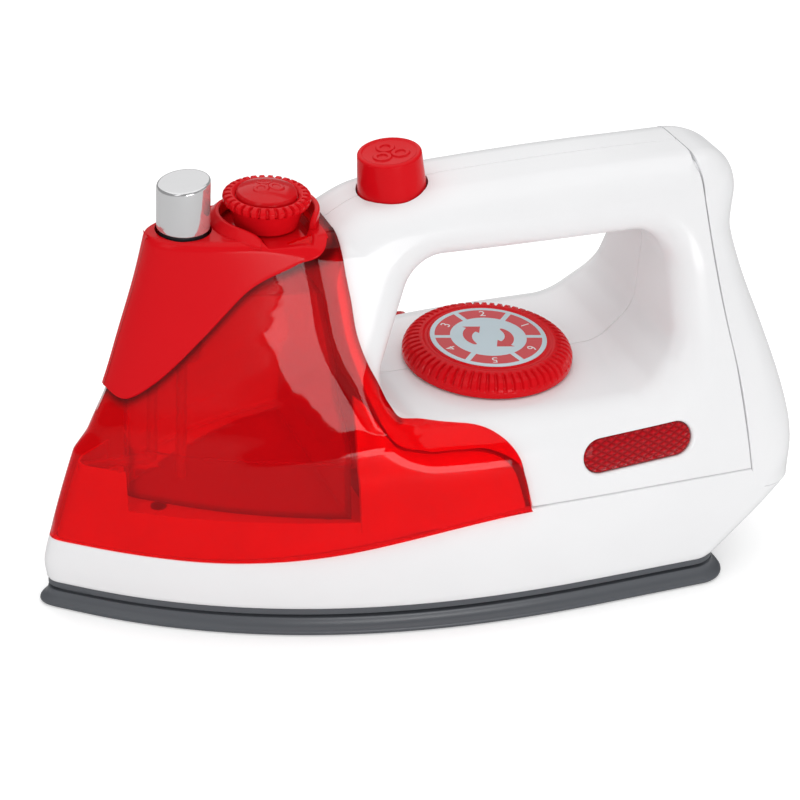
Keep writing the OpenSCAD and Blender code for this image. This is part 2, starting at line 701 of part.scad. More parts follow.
// Steps of the sole's edge: shares of sole_h from bottom to top, with the inset of each
flare_share = 0.5;
sole_steps = [
  [0, lip_h * flare_share, lip_h * flare_share * flare_share], [lip_h * flare_share, lip_h, 0],
  [lip_h, mix(lip_h, groove_z, flare_share), flare_inset * flare_share + lip_h * flare_share * flare_share],
  [mix(lip_h, groove_z, flare_share), groove_z, flare_inset + lip_h * flare_share * flare_share],
  [groove_z, groove_z + groove_h, groove_inset], [groove_z + groove_h, sole_h, strip_inset]
];
module sound_pattern(height) {
  for (k = [0:sound_holes - 1]) rotate([0, 0, 360 * k / sound_holes]) translate([speaker_r / 2, 0, 0])
    cylinder(h = height, r = sound_hole_r);
  cylinder(h = height, r = sound_hole_r);
}
module soleplate() {
  color([0.36, 0.37, 0.39]) difference() {
    union() {
      difference() {
        for (s = sole_steps) translate([0, 0, s[0]]) linear_extrude(s[1] - s[0]) sole_plan(s[2]);
        translate([0, 0, lip_h]) linear_extrude(sole_h) sole_plan(groove_inset + wall);
      }
      for (p = sole_screw_places) translate([p[0], p[1], lip_h / 2]) cylinder(h = sole_h - lip_h / 2, r = boss_r);
      translate([door_front - wall, -boss_r, lip_h / 2]) cube([wall, 2 * boss_r, sole_h - lip_h]);
      translate([door_front - wall, -boss_r, lip_h + tongue_clear])
        cube([wall + latch_room / 2 + boss_r, 2 * boss_r, sole_h - lip_h - 2 * tongue_clear]);
    }
    translate([door_front, -bay_width / 2, -overrun])
      cube([door_rear - door_front, bay_width, lip_h + tongue_clear + overrun]);
    translate([door_latch_x, 0, -overrun]) cylinder(h = sole_h + 2 * overrun, r = screw_r + 2 * tongue_clear);
    for (p = sole_screw_places) translate([p[0], p[1], -overrun]) {
      cylinder(h = sole_h + 2 * overrun, r = screw_r + seat);
      cylinder(h = overrun + screw_head_h + tongue_clear, r = screw_head_r + tongue_clear);
    }
    translate([speaker_x, 0, -overrun]) sound_pattern(sole_h + overrun);
  }
}

// White band: one row for each place round the edge, from the nose along one side to the middle of the back
band_levels = 4;
band_end_share = 0.68;
heel_r = crown_r + wall + overrun;
heel_rear = back[0][0];
seam_low = seam[1][0] - thin;
function climb(z) = (z - sole_h) / (heel_z - sole_h);
function band_place(k, z, t) =
  let(
    up = min(1, climb(z)), w = level_half(z) - t, nose = low_tip(z) + t,
    stop = mix(band_end_share * half_length, seam_low, up),
    rear = mix(sole_rear - strip_inset, heel_rear, up) - t, r = mix(sole_corner_r, heel_r, up) - t,
    share = k / plan_steps, a = 90 * (k - plan_steps - 2) / arc_steps
  )
  k <= plan_steps ? let(x = mix(nose, stop, (ease(share) + share * share) / 2)) [x, plan_half(x, nose, w)]
  : k == plan_steps + 1 ? [stop + thin / 2, w]
  : [rear - r + r * sin(a), w - r + r * cos(a)];
band_last = plan_steps + 2 + arc_steps;
function band_rim(k) = k <= plan_steps ? band_top(band_place(k, band_front_z, 0)[0]) : heel_z - 2 * seat;
function band_column(k, t) = [
  for (j = [0:band_levels])
    let(z = mix(sole_h, band_rim(k), j / band_levels), p = band_place(k, z, t)) [p[0], p[1], z]
];
function band_grid(t) = concat(
  [for (k = [0:band_last]) band_column(k, t)], [for (k = [band_last:-1:1]) mirrored(band_column(k, t))]
);
// Shelf under the reservoir, and liner behind the tank's tail: thickness, distances from the tank and ends
shelf_t = 1.5;
shelf_inset = tank_wall + 1.5 * overrun;
shelf_stop_share = -0.2;
liner_inset = tank_wall + 3 * overrun;
liner_stop_share = 0.145;
liner_top_share = 0.375;
liner_steps = 6;
module tray_shelf() {
  nose = low_tip(reservoir_z) + shelf_inset;
  points = [
    for (k = [0:plan_steps])
      let(x = mix(nose, shelf_stop_share * half_length, ease(k / plan_steps)))
        [x, plan_half(x, nose, level_half(reservoir_z) - shelf_inset)]
  ];
  translate([0, 0, reservoir_z - seat - shelf_t]) linear_extrude(shelf_t) polygon(whole_plan(points));
}
function liner_point(k, side, inset) =
  let(
    z = liner_top_share * handle_z, x = mix(shelf_stop_share, liner_stop_share, k / liner_steps) * half_length
  )
  [x, side * (plan_half(x, low_tip(z), level_half(z)) - inset)];
module tray_liner(side) {
  foot = sole_h + floor_t / 2;
  translate([0, 0, foot]) linear_extrude(liner_top_share * handle_z - foot) polygon(concat(
    [for (k = [0:liner_steps]) liner_point(k, side, liner_inset)],
    [for (k = [liner_steps:-1:0]) liner_point(k, side, liner_inset + shelf_t)]
  ));
}
// Posts that carry the shelf: shares of half_length and of half_width
post_shares = [[-0.705, 0.18], [-0.305, 0.545]];
post_places = [for (side = [-1, 1]) for (p = post_shares) [p[0] * half_length, side * p[1] * half_width]];
module base_tray() {
  color("white") difference() {
    union() {
      skin(band_grid(0), band_grid(wall), true, true);
      translate([0, 0, sole_h + seat]) linear_extrude(floor_t)
        polygon(whole_plan([for (k = [0:band_last]) band_place(k, sole_h, wall / 2)]));
      for (p = sole_screw_places) translate([p[0], p[1], sole_h + floor_t / 2]) cylinder(h = boss_r * 2, r = boss_r);
      for (p = board_posts) translate([p[0], p[1], sole_h + floor_t / 2])
        cylinder(h = board_z - sole_h - floor_t / 2, r = post_r);
      for (p = post_places) translate([p[0], p[1], sole_h + floor_t / 2])
        cylinder(h = reservoir_z - shelf_t / 2 - sole_h - floor_t / 2, r = post_r);
      tray_shelf();
      for (side = [-1, 1]) tray_liner(side);
    }
    translate([case_x - bay_length / 2 - case_room, -bay_width / 2 - case_room, sole_h - overrun])
      cube([bay_length + 2 * case_room, bay_width + 2 * case_room, floor_t + 2 * overrun]);
    for (p = sole_screw_places) translate([p[0], p[1], sole_h - overrun]) cylinder(h = boss_r * 2, r = screw_r);
    translate([speaker_x, 0, sole_h - overrun]) sound_pattern(floor_t + 2 * overrun);
  }
}

// Circuit board on its posts
board_share = -0.234;
board_x = board_share * half_length;
board_length = 40;
board_width = 34;
board_t = 1.6;
board_z = 15;
post_r = 2.5;
post_inset = 4;
board_posts = [
  for (sx = [-1, 1]) for (sy = [-1, 1])
    [board_x + sx * (board_length / 2 - post_inset), sy * (board_width / 2 - post_inset)]
];
module circuit_board() {
  chip = 9;
  color("green") {
    translate([board_x - board_length / 2, -board_width / 2, board_z + seat])
      cube([board_length, board_width, board_t]);
    translate([board_x - chip / 2, -chip / 2, board_z + board_t]) cube([chip, chip, board_t]);
    for (side = [-1, 1]) translate([board_x + chip, side * chip, board_z + board_t])
      cylinder(h = 2 * post_inset, r = post_inset / 2);
  }
}
module speaker() {
  rim_h = 2;
  color("silver") translate([speaker_x, 0, tray_top_z + seat + tongue_clear]) {
    cylinder(h = rim_h, r = speaker_r);
    translate([0, 0, rim_h / 2]) cylinder(h = 3 * rim_h, r = speaker_r * magnet_share);
  }
}

// Battery case with its cells, contacts, door and screw
module battery_case() {
  ear = 6;
  color("white") difference() {
    union() {
      translate([case_x - bay_length / 2 - case_wall, -bay_width / 2 - case_wall, case_foot_z])
        cube([bay_length + 2 * case_wall, bay_width + 2 * case_wall, case_top_z - case_foot_z]);
      translate([case_x - bay_length / 2 - case_wall - ear, -bay_width / 4, tray_top_z + 2 * seat])
        cube([bay_length + 2 * case_wall + 2 * ear, bay_width / 2, case_wall]);
    }
    translate([case_x - bay_length / 2, -bay_width / 2, case_foot_z - overrun])
      cube([bay_length, bay_width, case_top_z - case_foot_z - case_wall + overrun]);
  }
}
module battery_cells() {
  nub_r = 2.6;
  nub_h = 1.2;
  for (side = [-1, 1]) color("gold")
    translate([case_x - side * cell_length / 2, side * (cell_r + cell_gap / 2), cell_z]) rotate([0, side * 90, 0]) {
      cylinder(h = cell_length - nub_h, r = cell_r);
      cylinder(h = cell_length, r = nub_r);
    }
}
// Contacts: the plate's thickness, and half-sizes as shares of the cell's radius
contact_t = 0.5;
contact_wide_share = 0.7;
contact_high_share = 0.6;
contact_tip_share = 0.35;
module battery_contacts() {
  wide = cell_r * contact_wide_share;
  high = cell_r * contact_high_share;
  for (side = [-1, 1]) for (end = [-1, 1]) color("silver")
    translate([case_x + end * (bay_length / 2 - contact_t / 2 - seat), side * (cell_r + cell_gap / 2), cell_z]) {
      translate([-contact_t / 2, -wide, -high]) cube([contact_t, 2 * wide, 2 * high]);
      rotate([0, -end * 90, 0])
        cylinder(h = contact_room - contact_t / 2 - seat - tongue_clear, r1 = high, r2 = cell_r * contact_tip_share);
    }
}
module battery_door() {
  tongue_w = 6;
  color([0.36, 0.37, 0.39]) difference() {
    union() {
      translate([door_front + door_gap, -bay_width / 2 + door_gap, door_sink])
        cube([door_rear - door_front - 2 * door_gap, bay_width - 2 * door_gap, door_t]);
      for (side = [-1, 1]) {
        translate([door_rear - door_gap - tongue_t, side * bay_width / 4 - tongue_w / 2, door_sink])
          cube([tongue_t, tongue_w, lip_h + tongue_clear + tongue_t - door_sink]);
        translate([door_rear - door_gap - tongue_t, side * bay_width / 4 - tongue_w / 2, lip_h + tongue_clear])
          cube([tongue_reach * tongue_t, tongue_w, tongue_t]);
      }
    }
    translate([door_latch_x, 0, -overrun]) cylinder(h = 2 * lip_h + overrun, r = screw_r + seat);
    translate([door_latch_x, 0, door_sink - overrun]) cylinder(h = overrun + door_t / 2, r = screw_head_r + seat);
  }
}
module door_screw() {
  color("silver") translate([door_latch_x, 0, door_sink]) {
    cylinder(h = door_t / 2, r = screw_head_r);
    cylinder(h = sole_h - 2 * door_sink - tongue_clear, r = screw_r);
  }
}
module sole_screws() {
  for (p = sole_screw_places) color("silver") translate([p[0], p[1], tongue_clear]) {
    cylinder(h = screw_head_h, r = screw_head_r);
    cylinder(h = sole_h + boss_r, r = screw_r - seat);
  }
}

// Water reservoir inside the tank
reservoir_shares = [0.265, 0.32, 0.38, 0.45, 0.55, 0.67, 0.79];
// Foremost place of the reservoir
reservoir_front_share = -0.78;
reservoir_z = reservoir_shares[0] * handle_z;
reservoir_back_shares = [-0.245, -0.305];
reservoir_steps = 12;
nozzle_share = 0.353;
nozzle_z = handle_z * nozzle_share;
function reservoir_back(z) =
  half_length * mix(reservoir_back_shares[0], reservoir_back_shares[1], ease((z - ledge_z) / (cover_z - ledge_z)));
function reservoir_place(k, z, g) =
  let(
    low = z < ledge_z, tip = low ? low_tip(z) : high_tip(z),
    nose = max(tip + g, reservoir_front_share * half_length + g - reservoir_gap),
    stop = reservoir_back(z) - g + reservoir_gap,
    share = k / reservoir_steps, x = mix(nose, stop, share * share), reach = edge_x(max(z, ledge_z + ledge_rise)),
    steep = mix(nose_steepness_shares[0], nose_steepness_shares[1], (z - ledge_z) / (cover_z - ledge_z))
  )
  [
    x,
    low ? plan_half(x, nose, level_half(z) - g)
    : (ring_half(reach, z) + tank_proud - g) * pow((x - nose) / (reach - nose), steep),
    z
  ];
function reservoir_column(k, g) = [for (s = reservoir_shares) reservoir_place(k, s * handle_z, g)];
function reservoir_grid(g) = concat(
  [for (k = [0:reservoir_steps]) reservoir_column(k, g)],
  [for (k = [reservoir_steps:-1:1]) mirrored(reservoir_column(k, g))]
);
module reservoir() {
  outer = tank_wall + reservoir_gap;
  middle = outer + reservoir_wall / 2;
  floor_points = [for (k = [0:reservoir_steps]) let(p = reservoir_place(k, reservoir_z, middle)) [p[0], p[1]]];
  color("mistyrose", 0.6) difference() {
    union() {
      skin(reservoir_grid(outer), reservoir_grid(outer + reservoir_wall), true, true);
      translate([0, 0, reservoir_z + seat]) linear_extrude(reservoir_wall)
        polygon(whole_plan(floor_points));
    }
    translate([low_tip(nozzle_z), 0, nozzle_z]) rotate([0, 90, 0])
      cylinder(h = 5 * outer, r = tube_r + seat);
  }
}

// Pump with its piston, spring, tubes and nozzle
sleeve_drop = 1.7;
sleeve_foot_z = cover_z - sleeve_drop;
pump_top_z = sleeve_foot_z - cap_travel - 2 * seat - thin;
pump_foot_z = pump_top_z - pump_h;
piston_share = 0.62;
piston_z = pump_foot_z + pump_wall + pump_h * piston_share;
piston_h = 6;
rod_r = 2.2;
tube_bore_r = 0.8;
pump_flange_r = cap_r + cap_clear + overrun;
outlet_x = cap_x - pump_r - pump_wall - 2 * tube_r;
outlet_z = pump_foot_z + 2 * tube_r;
nozzle_inset = 2.8;
nozzle_x = low_tip(nozzle_z) + nozzle_inset;
nozzle_length = 2;
module pump_cylinder() {
  color("white") difference() {
    union() {
      translate([cap_x, 0, pump_foot_z]) cylinder(h = pump_h, r = pump_r + pump_wall);
      translate([cap_x, 0, pump_top_z - pump_wall]) cylinder(h = pump_wall, r = pump_flange_r);
    }
    translate([cap_x, 0, pump_foot_z + pump_wall]) cylinder(h = pump_h, r = pump_r);
    translate([cap_x, 0, pump_foot_z - overrun]) cylinder(h = pump_h, r = tube_bore_r);
    translate([cap_x - 2 * pump_r, 0, outlet_z]) rotate([0, 90, 0]) cylinder(h = 2 * pump_r, r = tube_bore_r);
  }
}
module pump_piston() {
  color([0.25, 0.25, 0.27]) translate([cap_x, 0, 0]) difference() {
    union() {
      translate([0, 0, piston_z]) cylinder(h = piston_h, r = pump_r - piston_clear);
      translate([0, 0, piston_z]) cylinder(h = sleeve_top_z - piston_z, r = rod_r);
      translate([0, 0, sleeve_foot_z]) cylinder(h = sleeve_top_z - sleeve_foot_z, r = stem_r);
    }
    translate([0, 0, sleeve_foot_z - overrun]) difference() {
      cylinder(h = sleeve_top_z - sleeve_foot_z - overrun, r = stem_r - pump_wall);
      cylinder(h = sleeve_top_z - sleeve_foot_z, r = rod_r);
    }
  }
}
cap_crown = 5.5;
sleeve_top_z = cap_top_z - cap_crown;
module spray_cap() {
  color("silver") difference() {
    translate([cap_x, 0, cap_rim_z]) cylinder(h = cap_top_z - cap_rim_z + cap_r, r = cap_r);
    translate([cap_x, 0, cap_top_z]) rotate([0, -cap_slant, 0]) translate([-2 * cap_r, -2 * cap_r, 0])
      cube([4 * cap_r, 4 * cap_r, 4 * cap_r]);
    translate([cap_x, 0, cap_rim_z - overrun])
      cylinder(h = sleeve_top_z - cap_rim_z + overrun + seat, r = stem_r + seat);
  }
}
module pump_spring() {
  color("silver") translate([cap_x, 0, pump_foot_z + pump_wall + seat])
    coil(pump_r - 2 * spring_wire, spring_wire, piston_z - pump_foot_z - pump_wall - 2 * seat, spring_turns + 2);
}
module pipe(a, b, r) {
  d = b - a;
  translate(a) rotate([0, acos(d[2] / norm(d)), atan2(d[1], d[0])]) cylinder(h = norm(d), r = r);
}
module suction_tube() {
  color("white", 0.7) difference() {
    pipe([cap_x, 0, reservoir_z + 2 * reservoir_wall], [cap_x, 0, pump_foot_z - seat], tube_r);
    pipe([cap_x, 0, reservoir_z], [cap_x, 0, pump_foot_z + overrun], tube_bore_r);
  }
}
outlet_path = [
  [cap_x - pump_r - pump_wall - seat, 0, outlet_z], [outlet_x, 0, outlet_z],
  [outlet_x, 0, nozzle_z], [nozzle_x + nozzle_length + seat, 0, nozzle_z]
];
module outlet_tube() {
  color("white", 0.7) difference() {
    union() {
      for (k = [0:2]) pipe(outlet_path[k], outlet_path[k + 1], tube_r);
      for (k = [1, 2]) translate(outlet_path[k]) sphere(tube_r);
    }
    for (k = [0:2]) let(a = outlet_path[k], b = outlet_path[k + 1], d = unit(b - a) * overrun)
      pipe(k == 0 ? a - d : a, k == 2 ? b + d : b, tube_bore_r);
  }
}
module spray_nozzle() {
  color([0.2, 0.2, 0.2]) translate([nozzle_x, 0, nozzle_z]) rotate([0, 90, 0]) difference() {
    cylinder(h = nozzle_length, r = nozzle_r);
    translate([0, 0, -overrun]) cylinder(h = nozzle_length + 2 * overrun, r = tube_bore_r);
  }
}

// Top cover: a thin wall over the tank and a plate that carries the cap and the knob
cover_steps = 14;
cover_levels = 6;
cover_out = cover_proud + thin / 2;
// Exponent that gathers the cover's columns near the nose
cover_gather = 1.6;
// Notch round the knob: its reach to the front and to the rear of the knob's axis
notch_ahead = 6.2;
notch_behind = 9.9;
notch_front = knob_x - notch_ahead;
notch_rear = knob_x + notch_behind;
notch_slope = 2;
plate_rear_share = -0.2885;
plate_rear_x = plate_rear_share * half_length;
collar_w = 1.6;
function cover_low(s) = handle_z * smooth(cover_edge_shares, s);
function cover_point(s, z, out) =
  let(x = mix(high_tip(z), edge_x(z), s), y = upper_half(x, z))
  [x - out * (1 - s), y + out * sqrt(s), z];
function cover_column(s, out) = [
  for (j = [0:cover_levels])
    let(z = mix(cover_low(s), cover_z, 1 - pow(1 - j / cover_levels, 2))) cover_point(s, z, out)
];
function cover_grid(out) =
  let(far = [for (k = [0:cover_steps]) cover_column(pow(k / cover_steps, cover_gather), out)])
  concat([for (k = [cover_steps:-1:1]) mirrored(far[k])], far);
module knob_pocket() {
  translate([knob_x, 0, knob_foot_z - thin]) cylinder(h = collar_z, r = knob_r + knob_clear);
}
module top_cover() {
  rim = [
    for (k = [0:cover_steps])
      let(p = cover_point(pow(k / cover_steps, cover_gather), cover_z, cover_out))
        if (p[0] < plate_rear_x) [p[0], p[1]]
  ];
  inset = wall / 4;
  outline = concat([[rim[0][0] + inset, 0]], [for (k = [1:len(rim) - 1]) [rim[k][0] + inset, rim[k][1] - inset]]);
  end = outline[len(outline) - 1];
  color("red") difference() {
    union() {
      difference() {
        union() {
          skin(cover_grid(cover_clear), cover_grid(cover_out));
          translate([0, 0, cover_z - seat - plate_t]) linear_extrude(plate_t)
            polygon(whole_plan(concat(outline, [[plate_rear_x, end[1]]])));
          translate([cap_x, 0, pump_top_z + seat]) cylinder(h = cover_z - plate_t - pump_top_z, r = pump_flange_r);
        }
        translate([0, half_width, 0]) rotate([90, 0, 0]) linear_extrude(2 * half_width) polygon([
          [notch_front + notch_slope, knob_foot_z - thin], [notch_rear - notch_slope, knob_foot_z - thin],
          [notch_rear, cover_z + wall], [notch_front, cover_z + wall]
        ]);
      }
      difference() {
        translate([knob_x, 0, cover_z - wall / 2])
          cylinder(h = collar_z - cover_z + wall / 2, r = knob_r + knob_clear + collar_w);
        translate([notch_rear - 4 * knob_r, -2 * knob_r, 0]) cube([4 * knob_r, 4 * knob_r, 2 * handle_z]);
      }
    }
    knob_pocket();
    translate([knob_x, 0, 0]) cylinder(h = handle_z, r = knob_hub_r + hub_clear);
    translate([cap_x, 0, 0]) cylinder(h = 2 * handle_z, r = cap_r + cap_clear);
  }
}

// Knob with its disc and screw
knob_hub_r = 3;
rib_depth = 0.6;
knob_hub_z = cover_z - seat - plate_t - thin;
function ribbed(r, count, depth) = [
  for (k = [0:count - 1]) for (c = [0:3])
    let(a = 360 * (k + c / 4) / count) (c < 2 ? r : r - depth) * [cos(a), sin(a)]
];
dome_r = (knob_disc_r * knob_disc_r + knob_dome_h * knob_dome_h) / (2 * knob_dome_h);
module knob() {
  color("red") difference() {
    union() {
      translate([knob_x, 0, knob_top_z - knob_ring_h])
        linear_extrude(knob_ring_h - rib_depth) polygon(ribbed(knob_r, knob_ribs, rib_depth));
      translate([knob_x, 0, knob_top_z - rib_depth - seat])
        cylinder(h = rib_depth + seat, r1 = knob_r - rib_depth, r2 = knob_r - 2 * rib_depth);
      translate([knob_x, 0, knob_foot_z])
        cylinder(h = knob_top_z - knob_ring_h - knob_foot_z + seat, r1 = knob_foot_r, r2 = knob_r - 2 * rib_depth);
      translate([knob_x, 0, knob_hub_z]) cylinder(h = knob_foot_z - knob_hub_z + seat, r = knob_hub_r);
    }
    translate([knob_x, 0, knob_top_z - overrun]) cylinder(h = 2 * overrun, r = knob_disc_r + seat);
    translate([knob_x, 0, knob_hub_z - overrun]) cylinder(h = knob_ring_h + 2 * overrun, r = screw_r);
  }
}
module knob_disc() {
  color("darkred") translate([knob_x, 0, knob_top_z - overrun + seat]) {
    cylinder(h = overrun - seat, r = knob_disc_r);
    intersection() {
      translate([0, 0, overrun - 2 * seat]) cylinder(h = 2 * knob_dome_h, r = knob_disc_r);
      translate([0, 0, overrun - seat + knob_dome_h - dome_r]) sphere(dome_r, $fn = 96);
    }
  }
}
module knob_screw() {
  color("silver") translate([knob_x, 0, knob_hub_z - seat - screw_head_h]) {
    cylinder(h = screw_head_h, r = knob_hub_r + overrun);
    cylinder(h = screw_head_h + knob_ring_h, r = screw_r - seat);
  }
}

// Dial on the deck
dial_base_z = deck_z + dial_gap;
dial_top_z = deck_z + dial_h;
hub_foot_z = deck_z - wall - thin - 2 * seat;
label_t = 0.25;
washer_t = 1;
washer_r = hub_r + 2;
washer_teeth = 16;
// Shares of the dial's height taken by its plain wall and by its ribs
dial_wall_share = 0.42;
dial_rib_share = 0.33;
module dial() {
  wall_h = (dial_top_z - dial_base_z) * dial_wall_share;
  rib_h = (dial_top_z - dial_base_z) * dial_rib_share;
  shoulder_z = dial_base_z + wall_h + rib_h - 2 * seat;
  color("red") difference() {
    union() {
      translate([dial_x, 0, dial_base_z]) cylinder(h = wall_h, r = dial_r);
      translate([dial_x, 0, dial_base_z + wall_h - seat])
        linear_extrude(rib_h) polygon(ribbed(dial_r - rib_depth, dial_ribs, rib_depth));
      translate([dial_x, 0, shoulder_z])
        cylinder(h = dial_top_z - shoulder_z, r1 = dial_r - 3 * rib_depth, r2 = dial_disc_r);
      translate([dial_x, 0, hub_foot_z]) cylinder(h = dial_base_z - hub_foot_z + seat, r = hub_r);
    }
    translate([dial_x, 0, hub_foot_z - overrun]) cylinder(h = dial_h, r = screw_r);
  }
}
module dial_label() {
  color("lavender") translate([dial_x, 0, dial_top_z + seat / 2]) cylinder(h = label_t, r = label_r);
}
module dial_screw() {
  color("silver") translate([dial_x, 0, hub_foot_z - washer_t - seat]) {
    linear_extrude(washer_t) polygon(ribbed(washer_r, washer_teeth, rib_depth));
    translate([0, 0, -screw_head_h]) cylinder(h = screw_head_h + seat, r = screw_head_r);
    cylinder(h = dial_h - 2 * overrun, r = screw_r - seat);
  }
}
leaf_t = 0.4;
leaf_reach = 11;
module dial_click_spring() {
  color("silver") translate([dial_x, -washer_r - thin - leaf_t, hub_foot_z - washer_t - seat]) {
    translate([-leaf_reach, 0, 0]) cube([2 * leaf_reach, leaf_t, washer_t]);
    for (end = [-1, 1]) translate([end * leaf_reach - overrun, -overrun, 0])
      cube([2 * overrun, 2 * overrun, deck_z - wall - seat - hub_foot_z + washer_t + seat]);
  }
}

soleplate();
base_tray();
left_shell();
right_shell();
rear_cover();
tank_shell();
reservoir();
top_cover();
spray_cap();
pump_piston();
pump_cylinder();
pump_spring();
suction_tube();
outlet_tube();
spray_nozzle();
knob();
knob_disc();
knob_screw();
handle_button();
button_spring();
button_switch();
dial();
dial_label();
dial_screw();
dial_click_spring();
left_lens();
right_lens();
lens_leds();
circuit_board();
speaker();
battery_case();
battery_cells();
battery_contacts();
battery_door();
door_screw();
case_screws();
sole_screws();
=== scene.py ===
"""Looks of the toy iron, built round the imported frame."""

import logging
import math
from dataclasses import dataclass
from enum import Enum
from typing import Any, ClassVar, Sequence

import bmesh
import bpy
import numpy as np
from mathutils import Matrix, Vector


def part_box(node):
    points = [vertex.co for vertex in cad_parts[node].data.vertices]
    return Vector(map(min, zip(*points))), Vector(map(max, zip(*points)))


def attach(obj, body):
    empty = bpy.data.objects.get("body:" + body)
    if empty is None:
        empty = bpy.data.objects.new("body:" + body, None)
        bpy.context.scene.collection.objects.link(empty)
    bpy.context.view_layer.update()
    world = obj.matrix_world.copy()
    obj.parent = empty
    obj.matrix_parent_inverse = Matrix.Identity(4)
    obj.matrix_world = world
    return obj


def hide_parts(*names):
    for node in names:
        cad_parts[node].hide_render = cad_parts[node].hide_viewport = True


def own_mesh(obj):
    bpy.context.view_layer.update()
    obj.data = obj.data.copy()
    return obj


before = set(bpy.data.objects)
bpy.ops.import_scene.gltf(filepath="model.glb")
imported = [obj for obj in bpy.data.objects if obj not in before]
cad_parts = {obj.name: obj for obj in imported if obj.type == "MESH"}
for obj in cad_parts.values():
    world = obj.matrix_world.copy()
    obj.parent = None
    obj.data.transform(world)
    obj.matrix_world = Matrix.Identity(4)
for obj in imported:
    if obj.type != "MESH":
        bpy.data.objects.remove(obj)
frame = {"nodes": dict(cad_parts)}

Array = np.ndarray
Colour = tuple[float, float, float]
Obj = bpy.types.Object
Pair = tuple[float, float]
Triple = tuple[float, float, float]
Socket = bpy.types.NodeSocket
log = logging.getLogger("iron")
MM = 0.001


class Body(str, Enum):
    """Bodies of the frame that pieces ride on."""

    CASING = "casing"
    PUMP = "spray_pump"
    KNOB = "steam_knob"
    BUTTON = "button"
    DIAL = "heat_dial"
    DOOR = "door"


class Side(int, Enum):
    """Near side at minus Y, far side at plus Y."""

    NEAR = -1
    FAR = 1


# Plain helpers on arrays


def ease(share: Array | float) -> Array:
    """Smooth step of a share clipped to 0 and 1: three squares less two cubes."""
    s = np.clip(share, 0, 1)
    return s * s * (3 - 2 * s)


def mix(a: Any, b: Any, share: Any) -> Any:
    """Straight blend from a to b."""
    return a + (b - a) * share


def turned_in(depth: Array, radius: Array | float) -> Array:
    """Inset of a quarter-round edge: radius less the root of radius squared less (radius - depth) squared.

    Args:
        depth: distance from the edge.
        radius: rounding of the edge.

    Returns:
        How far the surface is turned in at that distance.
    """
    depth = np.asarray(depth, float)
    inside = np.sqrt(np.maximum(0, radius * radius - (radius - depth) ** 2))
    return np.where(depth >= radius, 0, radius - inside)


def smooth(table: Sequence[Pair], x: Array | float) -> Array:
    """Value of a table at x by cubic pieces whose slopes join the neighbouring rows.

    Args:
        table: rows of (x, value), rising in x.
        x: places to read.

    Returns:
        The values, held constant beyond the table's ends.
    """
    t = np.asarray(table, float)
    x = np.asarray(x, float)
    k = np.clip(np.searchsorted(t[:, 0], x, side="left") - 1, 0, len(t) - 2)
    m = np.gradient(t[:, 1], edge_order=1) * 0
    m[1:-1] = (t[2:, 1] - t[:-2, 1]) / (t[2:, 0] - t[:-2, 0])
    m[0], m[-1] = (t[1, 1] - t[0, 1]) / (t[1, 0] - t[0, 0]), (t[-1, 1] - t[-2, 1]) / (t[-1, 0] - t[-2, 0])
    h = t[k + 1, 0] - t[k, 0]
    s = np.clip((x - t[k, 0]) / h, 0, 1)
    start = (2 * s**3 - 3 * s**2 + 1) * t[k, 1] + (s**3 - 2 * s**2 + s) * h * m[k]
    return start + (3 * s**2 - 2 * s**3) * t[k + 1, 1] + (s**3 - s**2) * h * m[k + 1]


def through(points: Array, place: Array) -> Array:
    """Curve through rows of points by the same cubic pieces, read at fractional row numbers."""
    rows = np.arange(len(points), dtype=float)
    return np.stack([smooth(np.stack([rows, points[:, c]], -1), place) for c in range(points.shape[1])], -1)


def mirrored(points: Array) -> Array:
    """The points with y turned round."""
    return points * np.array([1.0, -1.0, 1.0])


def fractions(count: int, parts: int, ends: bool = True) -> Array:
    """Row numbers from 0 to count with so many parts in each row."""
    return np.arange(count * parts + int(ends)) / parts


def hump(gap: Array, width: float) -> Array:
    """Bell curve of a distance: e to minus the square of gap over width."""
    return np.exp(-((gap / width) ** 2))


def circle(steps: int) -> Array:
    """Angles of so many even steps round a circle."""
    return np.arange(steps) * math.tau / steps


def spun(path: Array, around: int) -> tuple[Array, Array]:
    """The x and y of a profile's radii carried round the axis: r cos t and r sin t."""
    t = circle(around)
    return np.outer(np.cos(t), path[:, 0]), np.outer(np.sin(t), path[:, 0])


def both_sides(half: Array) -> Array:
    """Closed outline from its far half and the mirror of it."""
    return np.concatenate([half, half[:0:-1] * np.array([1, -1])])


def rectangle(x0: float, x1: float, y0: float, y1: float) -> Array:
    """Corners of a rectangle in plan."""
    return np.array([(x0, y0), (x1, y0), (x1, y1), (x0, y1)])


# Meshes


def grid_faces(rows: int, cols: int, wrap_rows: bool = False, wrap_cols: bool = False) -> Array:
    """Quads of a grid of points numbered row by row: (i, j), (i, j+1), (i+1, j+1), (i+1, j).

    Args:
        rows: points along the first way.
        cols: points along the second way.
        wrap_rows: whether the first way closes on itself.
        wrap_cols: whether the second way does.

    Returns:
        Point numbers of each quad.
    """
    i, j = np.meshgrid(np.arange(rows - (not wrap_rows)), np.arange(cols - (not wrap_cols)), indexing="ij")
    i2, j2 = (i + 1) % rows, (j + 1) % cols
    return np.stack([i * cols + j, i * cols + j2, i2 * cols + j2, i2 * cols + j], -1).reshape(-1, 4)


